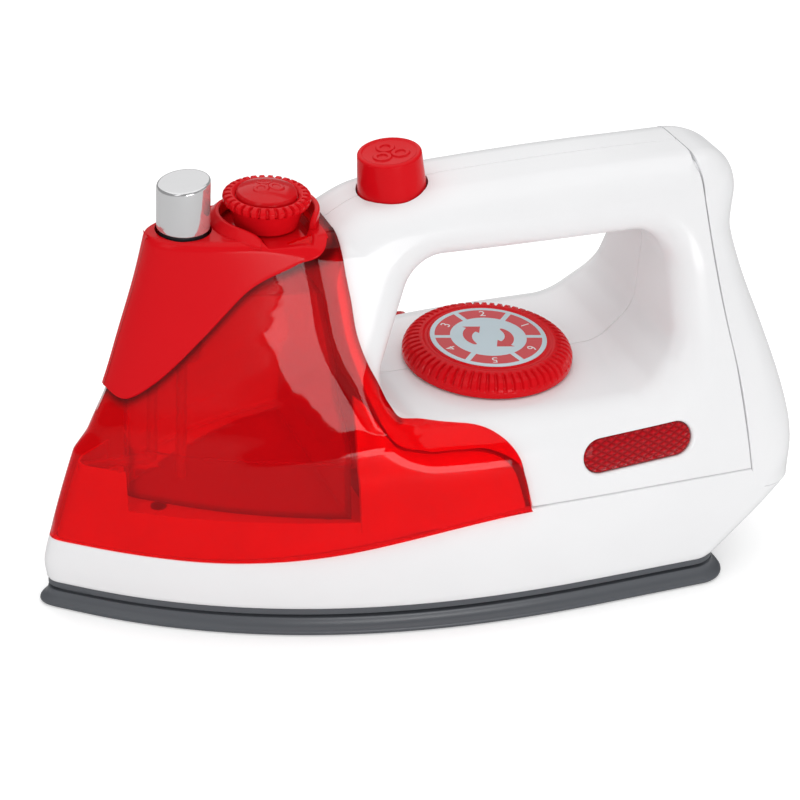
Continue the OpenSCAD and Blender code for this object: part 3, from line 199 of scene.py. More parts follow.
def make_object(name: str, points: Array, faces: Any, angle: float = 35.0) -> Obj:
    """A mesh object at the origin from points in millimetres.

    Args:
        name: the piece's name.
        points: vertices, any shape ending in 3.
        faces: rows of vertex numbers.
        angle: edges sharper than this stay sharp.

    Returns:
        The linked object, with doubles merged and faces pointing outwards.
    """
    mesh = bpy.data.meshes.new(name)
    rows = faces.tolist() if isinstance(faces, np.ndarray) else faces
    mesh.from_pydata((np.asarray(points).reshape(-1, 3) * MM).tolist(), [], rows)
    work = bmesh.new()
    work.from_mesh(mesh)
    bmesh.ops.remove_doubles(work, verts=work.verts, dist=1e-7)
    bmesh.ops.dissolve_degenerate(work, dist=1e-8, edges=work.edges)
    bmesh.ops.recalc_face_normals(work, faces=work.faces)
    work.to_mesh(mesh)
    work.free()
    obj = bpy.data.objects.new(name, mesh)
    bpy.context.scene.collection.objects.link(obj)
    soften(obj, angle)
    return obj


def soften(obj: Obj, angle: float = 35.0) -> None:
    """Smooth shading, with edges sharper than angle left sharp."""
    obj.data.shade_smooth()
    obj.data.set_sharp_from_angle(angle=math.radians(angle))


def paint_shadow(obj: Obj, shadow: Any) -> Obj:
    """Writes a value for each vertex, read by the clear finishes as painted shade: how far the plastic's colour is
    darkened there.

    Args:
        obj: the object.
        shadow: gives the values from the vertices' places in millimetres.

    Returns:
        The object.
    """
    count = len(obj.data.vertices)
    flat = np.empty(count * 3, np.float32)
    obj.data.vertices.foreach_get("co", flat)
    values = shadow(flat.reshape(-1, 3) / MM)
    layer = obj.data.attributes.new("shadow", "FLOAT", "POINT")
    layer.data.foreach_set("value", np.asarray(values, np.float32).reshape(-1))
    return obj


def skin(name: str, outer: Array, inner: Array, wrap: bool = False, angle: float = 35.0) -> Obj:
    """Closed solid between an outer and an inner grid of the same size.

    Args:
        name: the piece's name.
        outer: grid of points, rows by columns by 3.
        inner: the grid of the inner surface.
        wrap: whether the last row joins the first.
        angle: edges sharper than this stay sharp.

    Returns:
        The object.
    """
    n, m = outer.shape[:2]
    top = grid_faces(n, m, wrap)
    under = top[:, ::-1] + n * m
    edges = []
    for col in (0, m - 1):
        i = np.arange(n if wrap else n - 1)
        a, b = i * m + col, ((i + 1) % n) * m + col
        edges.append(np.stack([a, b, b + n * m, a + n * m], -1))
    for row in () if wrap else (0, n - 1):
        j = np.arange(m - 1)
        a, b = row * m + j, row * m + j + 1
        edges.append(np.stack([a, b, b + n * m, a + n * m], -1))
    points = np.concatenate([outer.reshape(-1, 3), inner.reshape(-1, 3)])
    return make_object(name, points, np.concatenate([top, under, *edges]), angle)


def tube(name: str, grid: Array, angle: float = 35.0) -> Obj:
    """Solid along a row of closed loops, with a flat face over its first and its last loop.

    Args:
        name: the piece's name.
        grid: one loop of points in each row.
        angle: edges sharper than this stay sharp.

    Returns:
        The object.
    """
    n, m = grid.shape[:2]
    faces = grid_faces(n, m, False, True).tolist()
    faces += [list(range(m - 1, -1, -1)), list(range((n - 1) * m, n * m))]
    return make_object(name, grid, faces, angle)


def prism(name: str, outline: Array, low: float, high: float, angle: float = 35.0) -> Obj:
    """Upright solid on a closed outline of (x, y), from height low to height high."""
    return tube(name, np.stack([np.column_stack([outline, np.full(len(outline), z)]) for z in (low, high)]), angle)


def turned(name: str, profile: Any, centre: Sequence[float], around: int = 96, angle: float = 35.0) -> Obj:
    """Solid of revolution: each profile point (r, z) goes to centre + (r cos t, r sin t, z).

    Args:
        name: the piece's name.
        profile: points from the axis round to the axis, or a closed loop off the axis.
        centre: the axis's place.
        around: number of steps round.
        angle: edges sharper than this stay sharp.

    Returns:
        The object.
    """
    p = np.asarray(profile, float)
    grid = np.stack([*spun(p, around), np.broadcast_to(p[:, 1], (around, len(p)))], -1)
    loop = bool(p[0, 0] > 0 and p[-1, 0] > 0)
    return make_object(name, grid + np.asarray(centre, float), grid_faces(around, len(p), True, loop), angle)


def cylinder(
    name: str, r: float, low: float, high: float, centre: Sequence[float] = (0, 0, 0), around: int = 64
) -> Obj:
    """Upright round solid of radius r, from height low to height high."""
    return turned(name, [(0, low), (r, low), (r, high), (0, high)], centre, around)


def rounded(points: Sequence[Pair], radii: Sequence[float], steps: int = 5) -> list[Pair]:
    """Open path whose inner corners are replaced by arcs.

    Args:
        points: corners of the path.
        radii: rounding of each corner; the first and last are not used.
        steps: parts of each arc.

    Returns:
        The path's points: at each corner, a blend of the two tangents that bends like a quarter round.
    """
    p = np.asarray(points, float)
    out = [tuple(p[0])]
    for k in range(1, len(p) - 1):
        back, ahead = p[k - 1] - p[k], p[k + 1] - p[k]
        reach = min(radii[k], 0.49 * np.linalg.norm(back), 0.49 * np.linalg.norm(ahead))
        a, b = p[k] + back / np.linalg.norm(back) * reach, p[k] + ahead / np.linalg.norm(ahead) * reach
        if radii[k] == 0:
            out.append(tuple(p[k]))
            continue
        for s in np.linspace(0, 1, steps + 1):
            out.append(tuple((1 - s) ** 2 * a + 2 * s * (1 - s) * p[k] + s * s * b))
    out.append(tuple(p[-1]))
    return out


def join(name: str, parts: Sequence[Obj], angle: float = 35.0) -> Obj:
    """One object from several, whose meshes are put together and whose own objects are removed.

    Args:
        name: the piece's name.
        parts: objects to join.
        angle: edges sharper than this stay sharp.

    Returns:
        The object.
    """
    work = bmesh.new()
    for part in parts:
        work.from_mesh(part.data)
    mesh = bpy.data.meshes.new(name)
    work.to_mesh(mesh)
    work.free()
    for part in parts:
        bpy.data.objects.remove(part)
    obj = bpy.data.objects.new(name, mesh)
    bpy.context.scene.collection.objects.link(obj)
    soften(obj, angle)
    return obj


def carve(obj: Obj, cutters: Sequence[Obj], angle: float = 35.0, fast: bool = False) -> Obj:
    """Takes the cutters out of the object by Boolean modifiers, applies them and removes the cutters.

    Args:
        obj: the object to cut.
        cutters: closed solids.
        angle: edges sharper than this stay sharp afterwards.
        fast: whether the quicker solver is enough.

    Returns:
        The same object with its new mesh.
    """
    for cutter in cutters:
        mod = obj.modifiers.new("cut", "BOOLEAN")
        mod.operation = "DIFFERENCE"
        mod.object = cutter
        mod.solver = "MANIFOLD" if fast else "EXACT"
    graph = bpy.context.evaluated_depsgraph_get()
    mesh = bpy.data.meshes.new_from_object(obj.evaluated_get(graph))
    obj.modifiers.clear()
    obj.data = mesh
    for cutter in cutters:
        bpy.data.objects.remove(cutter)
    soften(obj, angle)
    return obj


def moved(obj: Obj, matrix: Matrix) -> Obj:
    """Turns the object's own vertices by a matrix, so that the object stays at the origin."""
    obj.data.transform(matrix)
    return obj


# Shader values and nodes


class Val:
    """A shader value whose Python operators add Math nodes."""

    def __init__(self, kit: "Kit", socket: Socket) -> None:
        self.kit = kit
        self.socket = socket

    def __add__(self, other: Any) -> "Val":
        """Sum."""
        return self.kit.math("ADD", self, other)

    def __radd__(self, other: Any) -> "Val":
        """Sum from the left."""
        return self.kit.math("ADD", other, self)

    def __sub__(self, other: Any) -> "Val":
        """Difference."""
        return self.kit.math("SUBTRACT", self, other)

    def __rsub__(self, other: Any) -> "Val":
        """Difference from the left."""
        return self.kit.math("SUBTRACT", other, self)

    def __mul__(self, other: Any) -> "Val":
        """Product."""
        return self.kit.math("MULTIPLY", self, other)

    def __rmul__(self, other: Any) -> "Val":
        """Product from the left."""
        return self.kit.math("MULTIPLY", other, self)


class Kit:
    """The nodes of one material, or of the world."""

    def __init__(self, owner: bpy.types.Material | bpy.types.World) -> None:
        """Empties the owner's node tree.

        Args:
            owner: material or world.
        """
        self.owner = owner
        owner.use_nodes = True
        self.tree = owner.node_tree
        self.tree.nodes.clear()
        self.found: dict[str, bpy.types.Node] = {}

    @classmethod
    def material(cls, name: str) -> "Kit":
        """A kit with a new material."""
        return cls(bpy.data.materials.new(name))

    def once(self, kind: str) -> bpy.types.Node:
        """The tree's only node of that type, added when it is first asked for.

        Args:
            kind: the node's type.

        Returns:
            The node.
        """
        if kind not in self.found:
            self.found[kind] = self.node(kind)
        return self.found[kind]

    @property
    def place(self) -> Socket:
        """The object's own coordinates."""
        return self.once("ShaderNodeTexCoord").outputs["Object"]

    def ray(self, kind: str) -> Val:
        """One for rays of that kind, such as Is Camera Ray, else zero."""
        return Val(self, self.once("ShaderNodeLightPath").outputs[kind])

    def either(self, factor: Any, a: Socket, b: Socket) -> Socket:
        """Shader a where factor is 0, shader b where it is 1."""
        return self.node("ShaderNodeMixShader", {}, {0: factor, 1: a, 2: b}).outputs[0]

    def node(
        self, kind: str, settings: dict[str, Any] | None = None, values: dict[Any, Any] | None = None
    ) -> bpy.types.Node:
        """Adds a node.

        Args:
            kind: the node's type.
            settings: its own properties, set first.
            values: what each input socket holds or is linked to.

        Returns:
            The node.
        """
        made = self.tree.nodes.new(kind)
        for key, value in (settings or {}).items():
            setattr(made, key, value)
        for key, value in (values or {}).items():
            self.feed(made.inputs[key], value)
        return made

    def feed(self, socket: Socket, value: Any) -> None:
        """Links a value or a socket to an input, or sets the input to a constant.

        Args:
            socket: the input.
            value: value, colour or socket.
        """
        if isinstance(value, Val):
            self.tree.links.new(value.socket, socket)
        elif isinstance(value, bpy.types.NodeSocket):
            self.tree.links.new(value, socket)
        else:
            socket.default_value = value

    def math(self, operation: str, *terms: Any) -> Val:
        """A Math node of that operation on the terms."""
        made = self.node("ShaderNodeMath", {"operation": operation}, dict(enumerate(terms)))
        return Val(self, made.outputs[0])

    def noise(self, scale: float, detail: float = 2.0, stretch: Triple | None = None) -> Val:
        """Noise on the object's own coordinates, scale in waves per metre.

        Args:
            scale: waves per metre.
            detail: octaves.
            stretch: factor of each axis.

        Returns:
            The value.
        """
        place = self.place
        if stretch:
            place = self.node("ShaderNodeMapping", {}, {"Vector": self.place, "Scale": stretch}).outputs[0]
        made = self.node("ShaderNodeTexNoise", {}, {"Vector": place, "Scale": scale, "Detail": detail})
        return Val(self, made.outputs[0])

    def axis(self, name: str) -> Val:
        """The X, Y or Z of the object's own coordinates, in metres."""
        return Val(self, self.node("ShaderNodeSeparateXYZ", {}, {0: self.place}).outputs[name])

    def blend(self, factor: Any, a: Colour | Socket, b: Colour) -> Socket:
        """A colour between a and b by factor.

        Args:
            factor: 0 for a, 1 for b.
            a: a constant colour or a socket.
            b: a constant colour.

        Returns:
            The mixed colour's socket.
        """
        first = a if isinstance(a, Socket) else (*a, 1.0)
        return self.node("ShaderNodeMix", {"data_type": "RGBA"}, {0: factor, 6: first, 7: (*b, 1.0)}).outputs[2]

    def stored(self, name: str) -> Val:
        """The value stored at the piece's vertices under that name, zero where there is none."""
        return Val(self, self.node("ShaderNodeAttribute", {"attribute_name": name}).outputs["Fac"])

    def bump(self, height: Val, distance: float, strength: float = 1.0) -> Socket:
        """A normal from a height, whose full step is distance in metres."""
        made = self.node("ShaderNodeBump", {}, {"Strength": strength, "Distance": distance, "Height": height})
        return made.outputs[0]

    def surface(self, **values: Any) -> Socket:
        """A Principled shader with the given inputs, by name with spaces as underscores."""
        named = {key.replace("_", " "): value for key, value in values.items()}
        return self.node("ShaderNodeBsdfPrincipled", {}, named).outputs[0]

    def done(self, shader: Socket) -> Any:
        """Links the shader to the output and returns the owner.

        Args:
            shader: output of the last shader.

        Returns:
            The material or world.
        """
        kind = "World" if isinstance(self.owner, bpy.types.World) else "Material"
        self.node(f"ShaderNodeOutput{kind}", {}, {"Surface": shader})
        return self.owner


def shade(colour: Colour, factor: float) -> Colour:
    """A colour made darker or lighter by a factor."""
    return (colour[0] * factor, colour[1] * factor, colour[2] * factor)


@dataclass(frozen=True)
class Moulded:
    """Opaque moulded plastic: faint mottling, mould grain and slightly uneven gloss."""

    name: str
    colour: Colour
    roughness: float = 0.2
    grain: float = 900.0
    depth: float = 0.00001
    coat: float = 0.0
    mottle: float = 0.06
    gloss: float = 0.5

    def build(self) -> bpy.types.Material:
        """Builds the material.

        Returns:
            The material.
        """
        kit = Kit.material(self.name)
        cloud = kit.noise(28.0, 3.0)
        fine = kit.noise(self.grain, 2.0)
        waves = kit.noise(70.0, 1.0)
        shader = kit.surface(
            Base_Color=kit.blend(cloud, shade(self.colour, 1 - self.mottle), self.colour),
            Roughness=self.roughness + (cloud - 0.5) * 0.08 + fine * 0.03,
            Normal=kit.bump(fine * 0.6 + waves * 2.0, self.depth),
            IOR=1.5,
            Specular_IOR_Level=self.gloss,
            Coat_Weight=self.coat,
            Coat_Roughness=0.08,
        )
        return kit.done(shader)


@dataclass(frozen=True)
class Clear:
    """Clear tinted plastic with gentle flow waves; it lets tinted light through to what is behind it, is darkened by
    painted shade where the stored shadow is and gives a faint painted glow.
    """

    name: str
    colour: Colour
    through: Colour
    roughness: float = 0.03
    wave: float = 0.00004
    wave_scale: float = 45.0
    haze: float = 0.0
    ior: float = 1.45
    # Emission strength: a painted glow that stands in for light passing through the plastic.
    glow: float = 0.0
    # Share of the colour left where the stored shadow is full: painted shade.
    dark: float = 0.2

    def build(self) -> bpy.types.Material:
        """Builds the material.

        Returns:
            The material.
        """
        kit = Kit.material(self.name)
        flow = kit.noise(self.wave_scale, 2.0)
        fine = kit.noise(600.0, 2.0)
        shadow = kit.stored("shadow")
        tone = kit.blend(flow, shade(self.colour, 0.9), self.colour)
        # Painted shade: the colour darkens towards shade(colour, dark) where the stored shadow is, under the cover's
        # lip, along the tank's rear edge and along the vessel's edges.
        tinted = kit.blend(shadow, tone, shade(self.colour, self.dark))
        body = kit.surface(
            Base_Color=tinted,
            # Painted glow: the plastic emits its own colour, darkened with the painted shade, though it is no lamp.
            Emission_Color=tinted,
            Emission_Strength=self.glow,
            Roughness=self.roughness + fine * 0.03,
            Normal=kit.bump(flow + fine * 0.02, self.wave),
            Transmission_Weight=1.0 - self.haze,
            IOR=self.ior,
        )
        open_way = kit.node("ShaderNodeBsdfTransparent", {}, {0: (*self.through, 1.0)}).outputs[0]
        return kit.done(kit.either(kit.ray("Is Shadow Ray"), body, open_way))


@dataclass(frozen=True)
class Prismatic:
    """Clear lens plastic with a crossed pattern of small prisms on its face."""

    name: str
    colour: Colour
    pitch: float = 0.0017
    lean: Pair = (0.5, 0.87)
    away: float = 500.0

    def build(self) -> bpy.types.Material:
        """The material: two crossed triangle waves of x and z, at plus and minus 30 degrees.

        Returns:
            The material.
        """
        kit = Kit.material(self.name)
        x, z = kit.axis("X") * (self.lean[0] / self.pitch), kit.axis("Z") * (self.lean[1] / self.pitch)
        height = kit.math("MINIMUM", *(kit.math("PINGPONG", x + way + self.away, 0.5) for way in (z, -1.0 * z)))
        shader = kit.surface(
            # Painted shade: the base colour darkens to 0.45 along the grooves between the prisms.
            Base_Color=kit.blend(height * 2.0, shade(self.colour, 0.45), self.colour),
            Roughness=0.12 + kit.noise(300.0) * 0.08,
            Normal=kit.bump(height, 0.0007),
            Transmission_Weight=0.25,
            Coat_Weight=0.15,
            Coat_Roughness=0.03,
            IOR=1.3,
        )
        return kit.done(shader)


@dataclass(frozen=True)
class Metal:
    """Metal, plated or bare, with faint streaks and handling marks."""

    name: str
    colour: Colour
    roughness: float = 0.08
    streak: Triple = (1.0, 1.0, 12.0)
    depth: float = 0.000004
    metallic: float = 1.0

    def build(self) -> bpy.types.Material:
        """Builds the material.

        Returns:
            The material.
        """
        kit = Kit.material(self.name)
        marks = kit.noise(60.0, 4.0)
        lines = kit.noise(700.0, 2.0, self.streak)
        shader = kit.surface(
            Base_Color=kit.blend(marks, shade(self.colour, 0.92), self.colour),
            Metallic=self.metallic,
            Roughness=self.roughness + marks * 0.07 + lines * 0.03,
            Normal=kit.bump(lines, self.depth),
        )
        return kit.done(shader)


@dataclass(frozen=True)
class Printed:
    """Printed film or sleeve: a smooth face with a fine print grain and faint scuffs."""

    name: str
    colour: Colour
    second: Colour
    roughness: float = 0.3
    metallic: float = 0.0

    def build(self) -> bpy.types.Material:
        """Builds the material.

        Returns:
            The material.
        """
        kit = Kit.material(self.name)
        cloud = kit.noise(40.0, 4.0)
        dots = kit.noise(2500.0, 1.0)
        shader = kit.surface(
            Base_Color=kit.blend(cloud * 0.5 + dots * 0.3, self.colour, self.second),
            Metallic=self.metallic,
            Roughness=self.roughness + dots * 0.06 + (cloud - 0.5) * 0.1,
            Normal=kit.bump(dots, 0.000006),
            Coat_Weight=0.4,
            Coat_Roughness=0.15,
        )
        return kit.done(shader)


@dataclass(frozen=True)
class Board:
    """Lacquered circuit board with lighter tracks under the lacquer."""

    name: str
    colour: Colour
    track: Colour

    def build(self) -> bpy.types.Material:
        """The material: tracks are a brick pattern broken up by noise.

        Returns:
            The material.
        """
        kit = Kit.material(self.name)
        brick = kit.node("ShaderNodeTexBrick", {}, {"Vector": kit.place, "Scale": 180.0, "Mortar Size": 0.03})
        lines = Val(kit, brick.outputs["Fac" if "Fac" in brick.outputs else "Factor"])
        cloud = kit.noise(120.0, 3.0)
        shader = kit.surface(
            Base_Color=kit.blend(lines * 0.8 + cloud * 0.1, self.colour, self.track),
            Roughness=0.25 + cloud * 0.15,
            Normal=kit.bump(lines, 0.00005),
            Coat_Weight=0.6,
        )
        return kit.done(shader)


class Finishes:
    """All finishes, built once and found by name."""

    def __init__(self) -> None:
        """Builds the materials."""
        white = (0.91, 0.91, 0.92)
        red = (0.7, 0.005, 0.01)
        kinds = [
            Moulded("white_gloss", white, 0.22, 700.0, 0.000012),
            Moulded("inner_white", (0.8, 0.8, 0.79), 0.4),
            Moulded("sole_grey", (0.1, 0.107, 0.12), 0.33, 1400.0, 0.00002, mottle=0.12),
            Moulded("red_gloss", red, 0.14, 800.0, 0.000014, gloss=0.13),
            Moulded("red_disc", shade(red, 0.9), 0.12, 800.0, 0.000014, gloss=0.3),
            Moulded("dark_plastic", (0.04, 0.04, 0.045), 0.35, 1200.0, 0.00002),
            # The tank's last number and the vessel's glow are a painted glow: emission standing in for light passing
            # through them.
            Clear("tank_red", (0.85, 0.003, 0.012), (1.0, 0.25, 0.25), 0.015, 0.00012, 60.0, 0.12, 1.3, 0.04),
            Clear("reservoir_haze", (1.0, 0.8, 0.78), (1.0, 0.9, 0.9), 0.12, 0.00003, haze=0.1, ior=1.15, glow=0.035),
            Clear("pale_clear", (0.9, 0.88, 0.86), (0.95, 0.95, 0.95), 0.2, 0.00002, haze=0.3),
            Prismatic("lens_red", (0.8, 0.005, 0.015)),
            Metal("chrome", (0.9, 0.9, 0.91), 0.05, metallic=0.75),
            Metal("steel", (0.62, 0.61, 0.6), 0.25, depth=0.00001),
            Metal("brass", (0.72, 0.55, 0.3), 0.28),
            Printed("label_film", (0.56, 0.7, 0.76), (0.62, 0.75, 0.8)),
            Printed("label_red", (0.62, 0.02, 0.03), (0.7, 0.03, 0.04), 0.34),
            Printed("label_white", (0.85, 0.85, 0.84), (0.78, 0.78, 0.78), 0.34),
            Printed("cell_sleeve", (0.05, 0.28, 0.16), (0.07, 0.34, 0.2), 0.28, 0.5),
            Board("board", (0.01, 0.12, 0.04), (0.03, 0.26, 0.1)),
        ]
        self.made = {kind.name: kind.build() for kind in kinds}

    def dress(self, obj: Obj, finish: str) -> None:
        """Gives the object that finish alone."""
        obj.data.materials.clear()
        obj.data.materials.append(self.made[finish])


@dataclass
class Assembly:
    """What every sub-assembly shares: the form, the finishes and how a piece is entered."""

    form: "Form"
    finishes: Finishes

    def enter(self, obj: Obj, finish: str, body: Body, slot: str, *nodes: str) -> Obj:
        """Dresses a piece and ties it to the frame.

        Args:
            obj: the piece, in place.
            finish: the finish's name.
            body: the body it rides on.
            slot: name of a material slot; not used.
            nodes: the CAD nodes that it stands for.

        Returns:
            The piece.
        """
        self.finishes.dress(obj, finish)
        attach(obj, body.value)
        if nodes:
            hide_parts(*nodes)
        log.info("%s: %d faces", obj.name, len(obj.data.polygons))
        return obj


@dataclass
class Form:
    """The casing's shared surfaces in millimetres: x from tip to rear, y across, z up from the floor."""

    half_length: float = 111.3
    half_width: float = 51.4
    wide_x: float = 51.4206
    sole_rear: float = 89.374
    crown_z: float = 124.5
    wall: float = 2.0
    plan_rise: float = 2.45
    plan_round: float = 1.163
    tip_r: float = 3.0
    ledge_z: float = 50.0
    ledge_rise: float = 4.9
    cover_z: float = 115.3
    saddle_r: float = 10.0
    crown_r: float = 9.0
    open_r: float = 12.0
    proud: float = 1.8
    band_ends: Pair = (22.5, 35.5)
    slope_ends: Pair = (-0.68, 0.255)
    side: tuple = (
        (0.064, 0.953), (0.193, 0.936), (0.285, 0.891), (0.402, 0.825), (0.504, 0.745), (0.643, 0.584), (0.779, 0.453),
        (0.924, 0.34), (1, 0.302),
    )
    low_nose: tuple = ((0.064, 0.979), (0.116, 0.985), (0.2, 0.965), (0.301, 0.936), (0.402, 0.903), (0.44, 0.888))
    high_nose: tuple = ((0.402, 0.88), (0.441, 0.868), (0.561, 0.814), (0.696, 0.769), (0.816, 0.73), (0.93, 0.7))
    tank_edge: tuple = (
        (0.195, 0.277), (0.185, 0.325), (0.173, 0.373), (0.16, 0.417), (0.13, 0.452), (0.072, 0.474), (-0.054, 0.482),
        (-0.13, 0.502), (-0.157, 0.546), (-0.184, 0.594), (-0.216, 0.651), (-0.238, 0.715), (-0.248, 0.787),
        (-0.259, 0.849), (-0.265, 0.896), (-0.266, 0.926),
    )
    core: tuple = ((-5.585, 72.0), (2.415, 92.0), (61.235, 92.0), (61.235, 76.0), (57.235, 72.0))

    def level_half(self, z: Array | float) -> Array:
        """Half-width at height z where the plan is widest."""
        return self.half_width * smooth(self.side, np.asarray(z) / self.crown_z)

    def plan_half(self, x: Array, tip: Array, wide: Array) -> Array:
        """Nose curve: wide times (1 - (1 - share) to the rise) to one over the round, a round tip added in squares.

        Args:
            x: places from tip to rear.
            tip: x of the tip.
            wide: full half-width.

        Returns:
            The half-widths.
        """
        d = np.maximum(0, x - tip)
        share = np.minimum(1, d / (self.wide_x - tip))
        edge = wide * np.maximum(0, 1 - (1 - share) ** self.plan_rise) ** (1 / self.plan_round)
        return np.sqrt(edge * edge + 2 * self.tip_r * d * np.exp(-d / self.tip_r))

    def low_tip(self, z: Array | float) -> Array:
        """Place of the nose below the ledge."""
        return -self.half_length * smooth(self.low_nose, np.asarray(z) / self.crown_z)

    def high_tip(self, z: Array | float) -> Array:
        """Place of the nose above the ledge."""
        return -self.half_length * smooth(self.high_nose, np.asarray(z) / self.crown_z)

    def side_half(self, x: Array, z: Array) -> Array:
        """Half-width of the shells before rounding: the nose curve, fading to the plain width towards the crown.

        Args:
            x: places from tip to rear.
            z: heights.

        Returns:
            The half-widths.
        """
        wide = self.level_half(z)
        tip = mix(self.low_tip(z), self.high_tip(z), ease((z - self.ledge_z + 4) / 8))
        fade = 0.55 * ease((z - self.ledge_z) / (self.crown_z - self.ledge_z))
        return mix(self.plan_half(x, tip, wide), wide, fade)

    def band_top(self, x: Array) -> Array:
        """Height of the white band's top edge."""
        a, b = (self.half_length * end for end in self.slope_ends)
        return mix(*self.band_ends, ease((x - a) / (b - a)))

    def open_gap(self, x: Array, z: Array) -> Array:
        """Distance in the side view from the handle opening, below zero inside it.

        Args:
            x: places from tip to rear.
            z: heights.

        Returns:
            The distances.
        """
        p = np.stack(np.broadcast_arrays(np.asarray(x, float), np.asarray(z, float)), -1)
        core = np.array(self.core)
        best = np.full(p.shape[:-1], 1e9)
        for a, b in zip(core, np.roll(core, -1, 0)):
            share = np.clip(((p - a) @ (b - a)) / ((b - a) @ (b - a)), 0, 1)
            best = np.minimum(best, np.linalg.norm(p - a - share[..., None] * (b - a), axis=-1))
        return best - self.open_r

    def ring_half(self, x: Array, z: Array) -> Array:
        """Half-width of the shells with the rounding round the opening."""
        return self.side_half(x, z) - turned_in(np.maximum(0, self.open_gap(x, z)), self.saddle_r)

    def edge_x(self, z: Array | float) -> Array:
        """Place of the tank's rear edge above the ledge."""
        rows = [(share_z, share_x) for share_x, share_z in self.tank_edge[7:]]
        return self.half_length * smooth(rows, np.asarray(z) / self.crown_z)

    def upper_half(self, x: Array, z: Array) -> Array:
        """Half-width of the tank above the ledge: a power curve from the nose, a valley, a column at the rear edge.

        Args:
            x: places from tip to rear.
            z: heights.

        Returns:
            The half-widths.
        """
        stop, nose = self.edge_x(z), self.high_tip(z)
        s = np.clip((x - nose) / (stop - nose), 0, 1.2)
        steep = mix(0.6, 0.35, (z - self.ledge_z) / (self.cover_z - self.ledge_z))
        valley = 0.7 * ease((z - self.ledge_z - self.ledge_rise) / 14)
        front = (self.side_half(stop, z) + self.proud) * s**steep - valley
        column = self.ring_half(x, z) + self.proud
        top = self.crown_r * mix(0.25, 0.75, ease(2 * s - 1))
        return mix(front, column, ease((x - stop + 11) / 5)) - turned_in(np.maximum(0, self.cover_z - z), top)

    def lower_half(self, x: Array, z: Array) -> Array:
        """Half-width of the tank below the ledge: the nose curve, growing proud towards the rear.

        Args:
            x: places from tip to rear.
            z: heights.

        Returns:
            The half-widths.
        """
        start, stop = self.half_length * self.slope_ends[0], self.half_length * -0.25
        base = self.plan_half(x, self.low_tip(np.minimum(z, self.ledge_z)), self.level_half(z))
        inset = turned_in(np.maximum(0, self.open_gap(x, z)), self.saddle_r)
        return base - inset + self.proud * ease((x - start) / (stop - start))

    def rim(self, parts: int) -> Array:
        """Points round the handle opening, each of its 41 steps cut into parts.

        Args:
            parts: pieces of each step.

        Returns:
            Points (x, z).
        """
        core = np.array(self.core)
        count = len(core)
        arcs = []
        for k in range(count):
            a, p, b = core[k - 1], core[k], core[(k + 1) % count]
            turns = [math.atan2((q - o)[0], -(q - o)[1]) for o, q in ((a, p), (p, b))]
            sweep = (turns[1] - turns[0] + math.pi) % (2 * math.pi) - math.pi
            t = turns[0] + sweep * np.linspace(0, 1, 3 * parts + 1)
            arcs.append(p + self.open_r * np.stack([np.cos(t), np.sin(t)], -1))
        runs = []
        for k, steps in enumerate((4, 9, 3, 1, 9)):
            share = (np.arange(1, steps * parts) / (steps * parts))[:, None]
            runs += [arcs[k], mix(arcs[k][-1], arcs[(k + 1) % count][0], share)]
        return np.concatenate(runs)

    def plan(self, tip: float, wide: float, rear: float, corner: float, steps: int = 120) -> Array:
        """Closed outline seen from above: nose curve, straight side, round rear corner and the mirror of them.

        Args:
            tip: x of the tip.
            wide: full half-width.
            rear: x of the rear.
            corner: radius of the rear corner.
            steps: points along the nose curve.

        Returns:
            Points (x, y).
        """
        share = ease(np.arange(steps + 1) / steps)
        x = mix(tip, rear - corner, share)
        y = self.plan_half(x, tip, wide)
        a = np.arange(1, 13) / 12 * np.pi / 2
        bend = np.array([rear - corner, y[-1] - corner]) + corner * np.stack([np.sin(a), np.cos(a)], -1)
        return both_sides(np.concatenate([np.stack([x, y], -1), bend]))


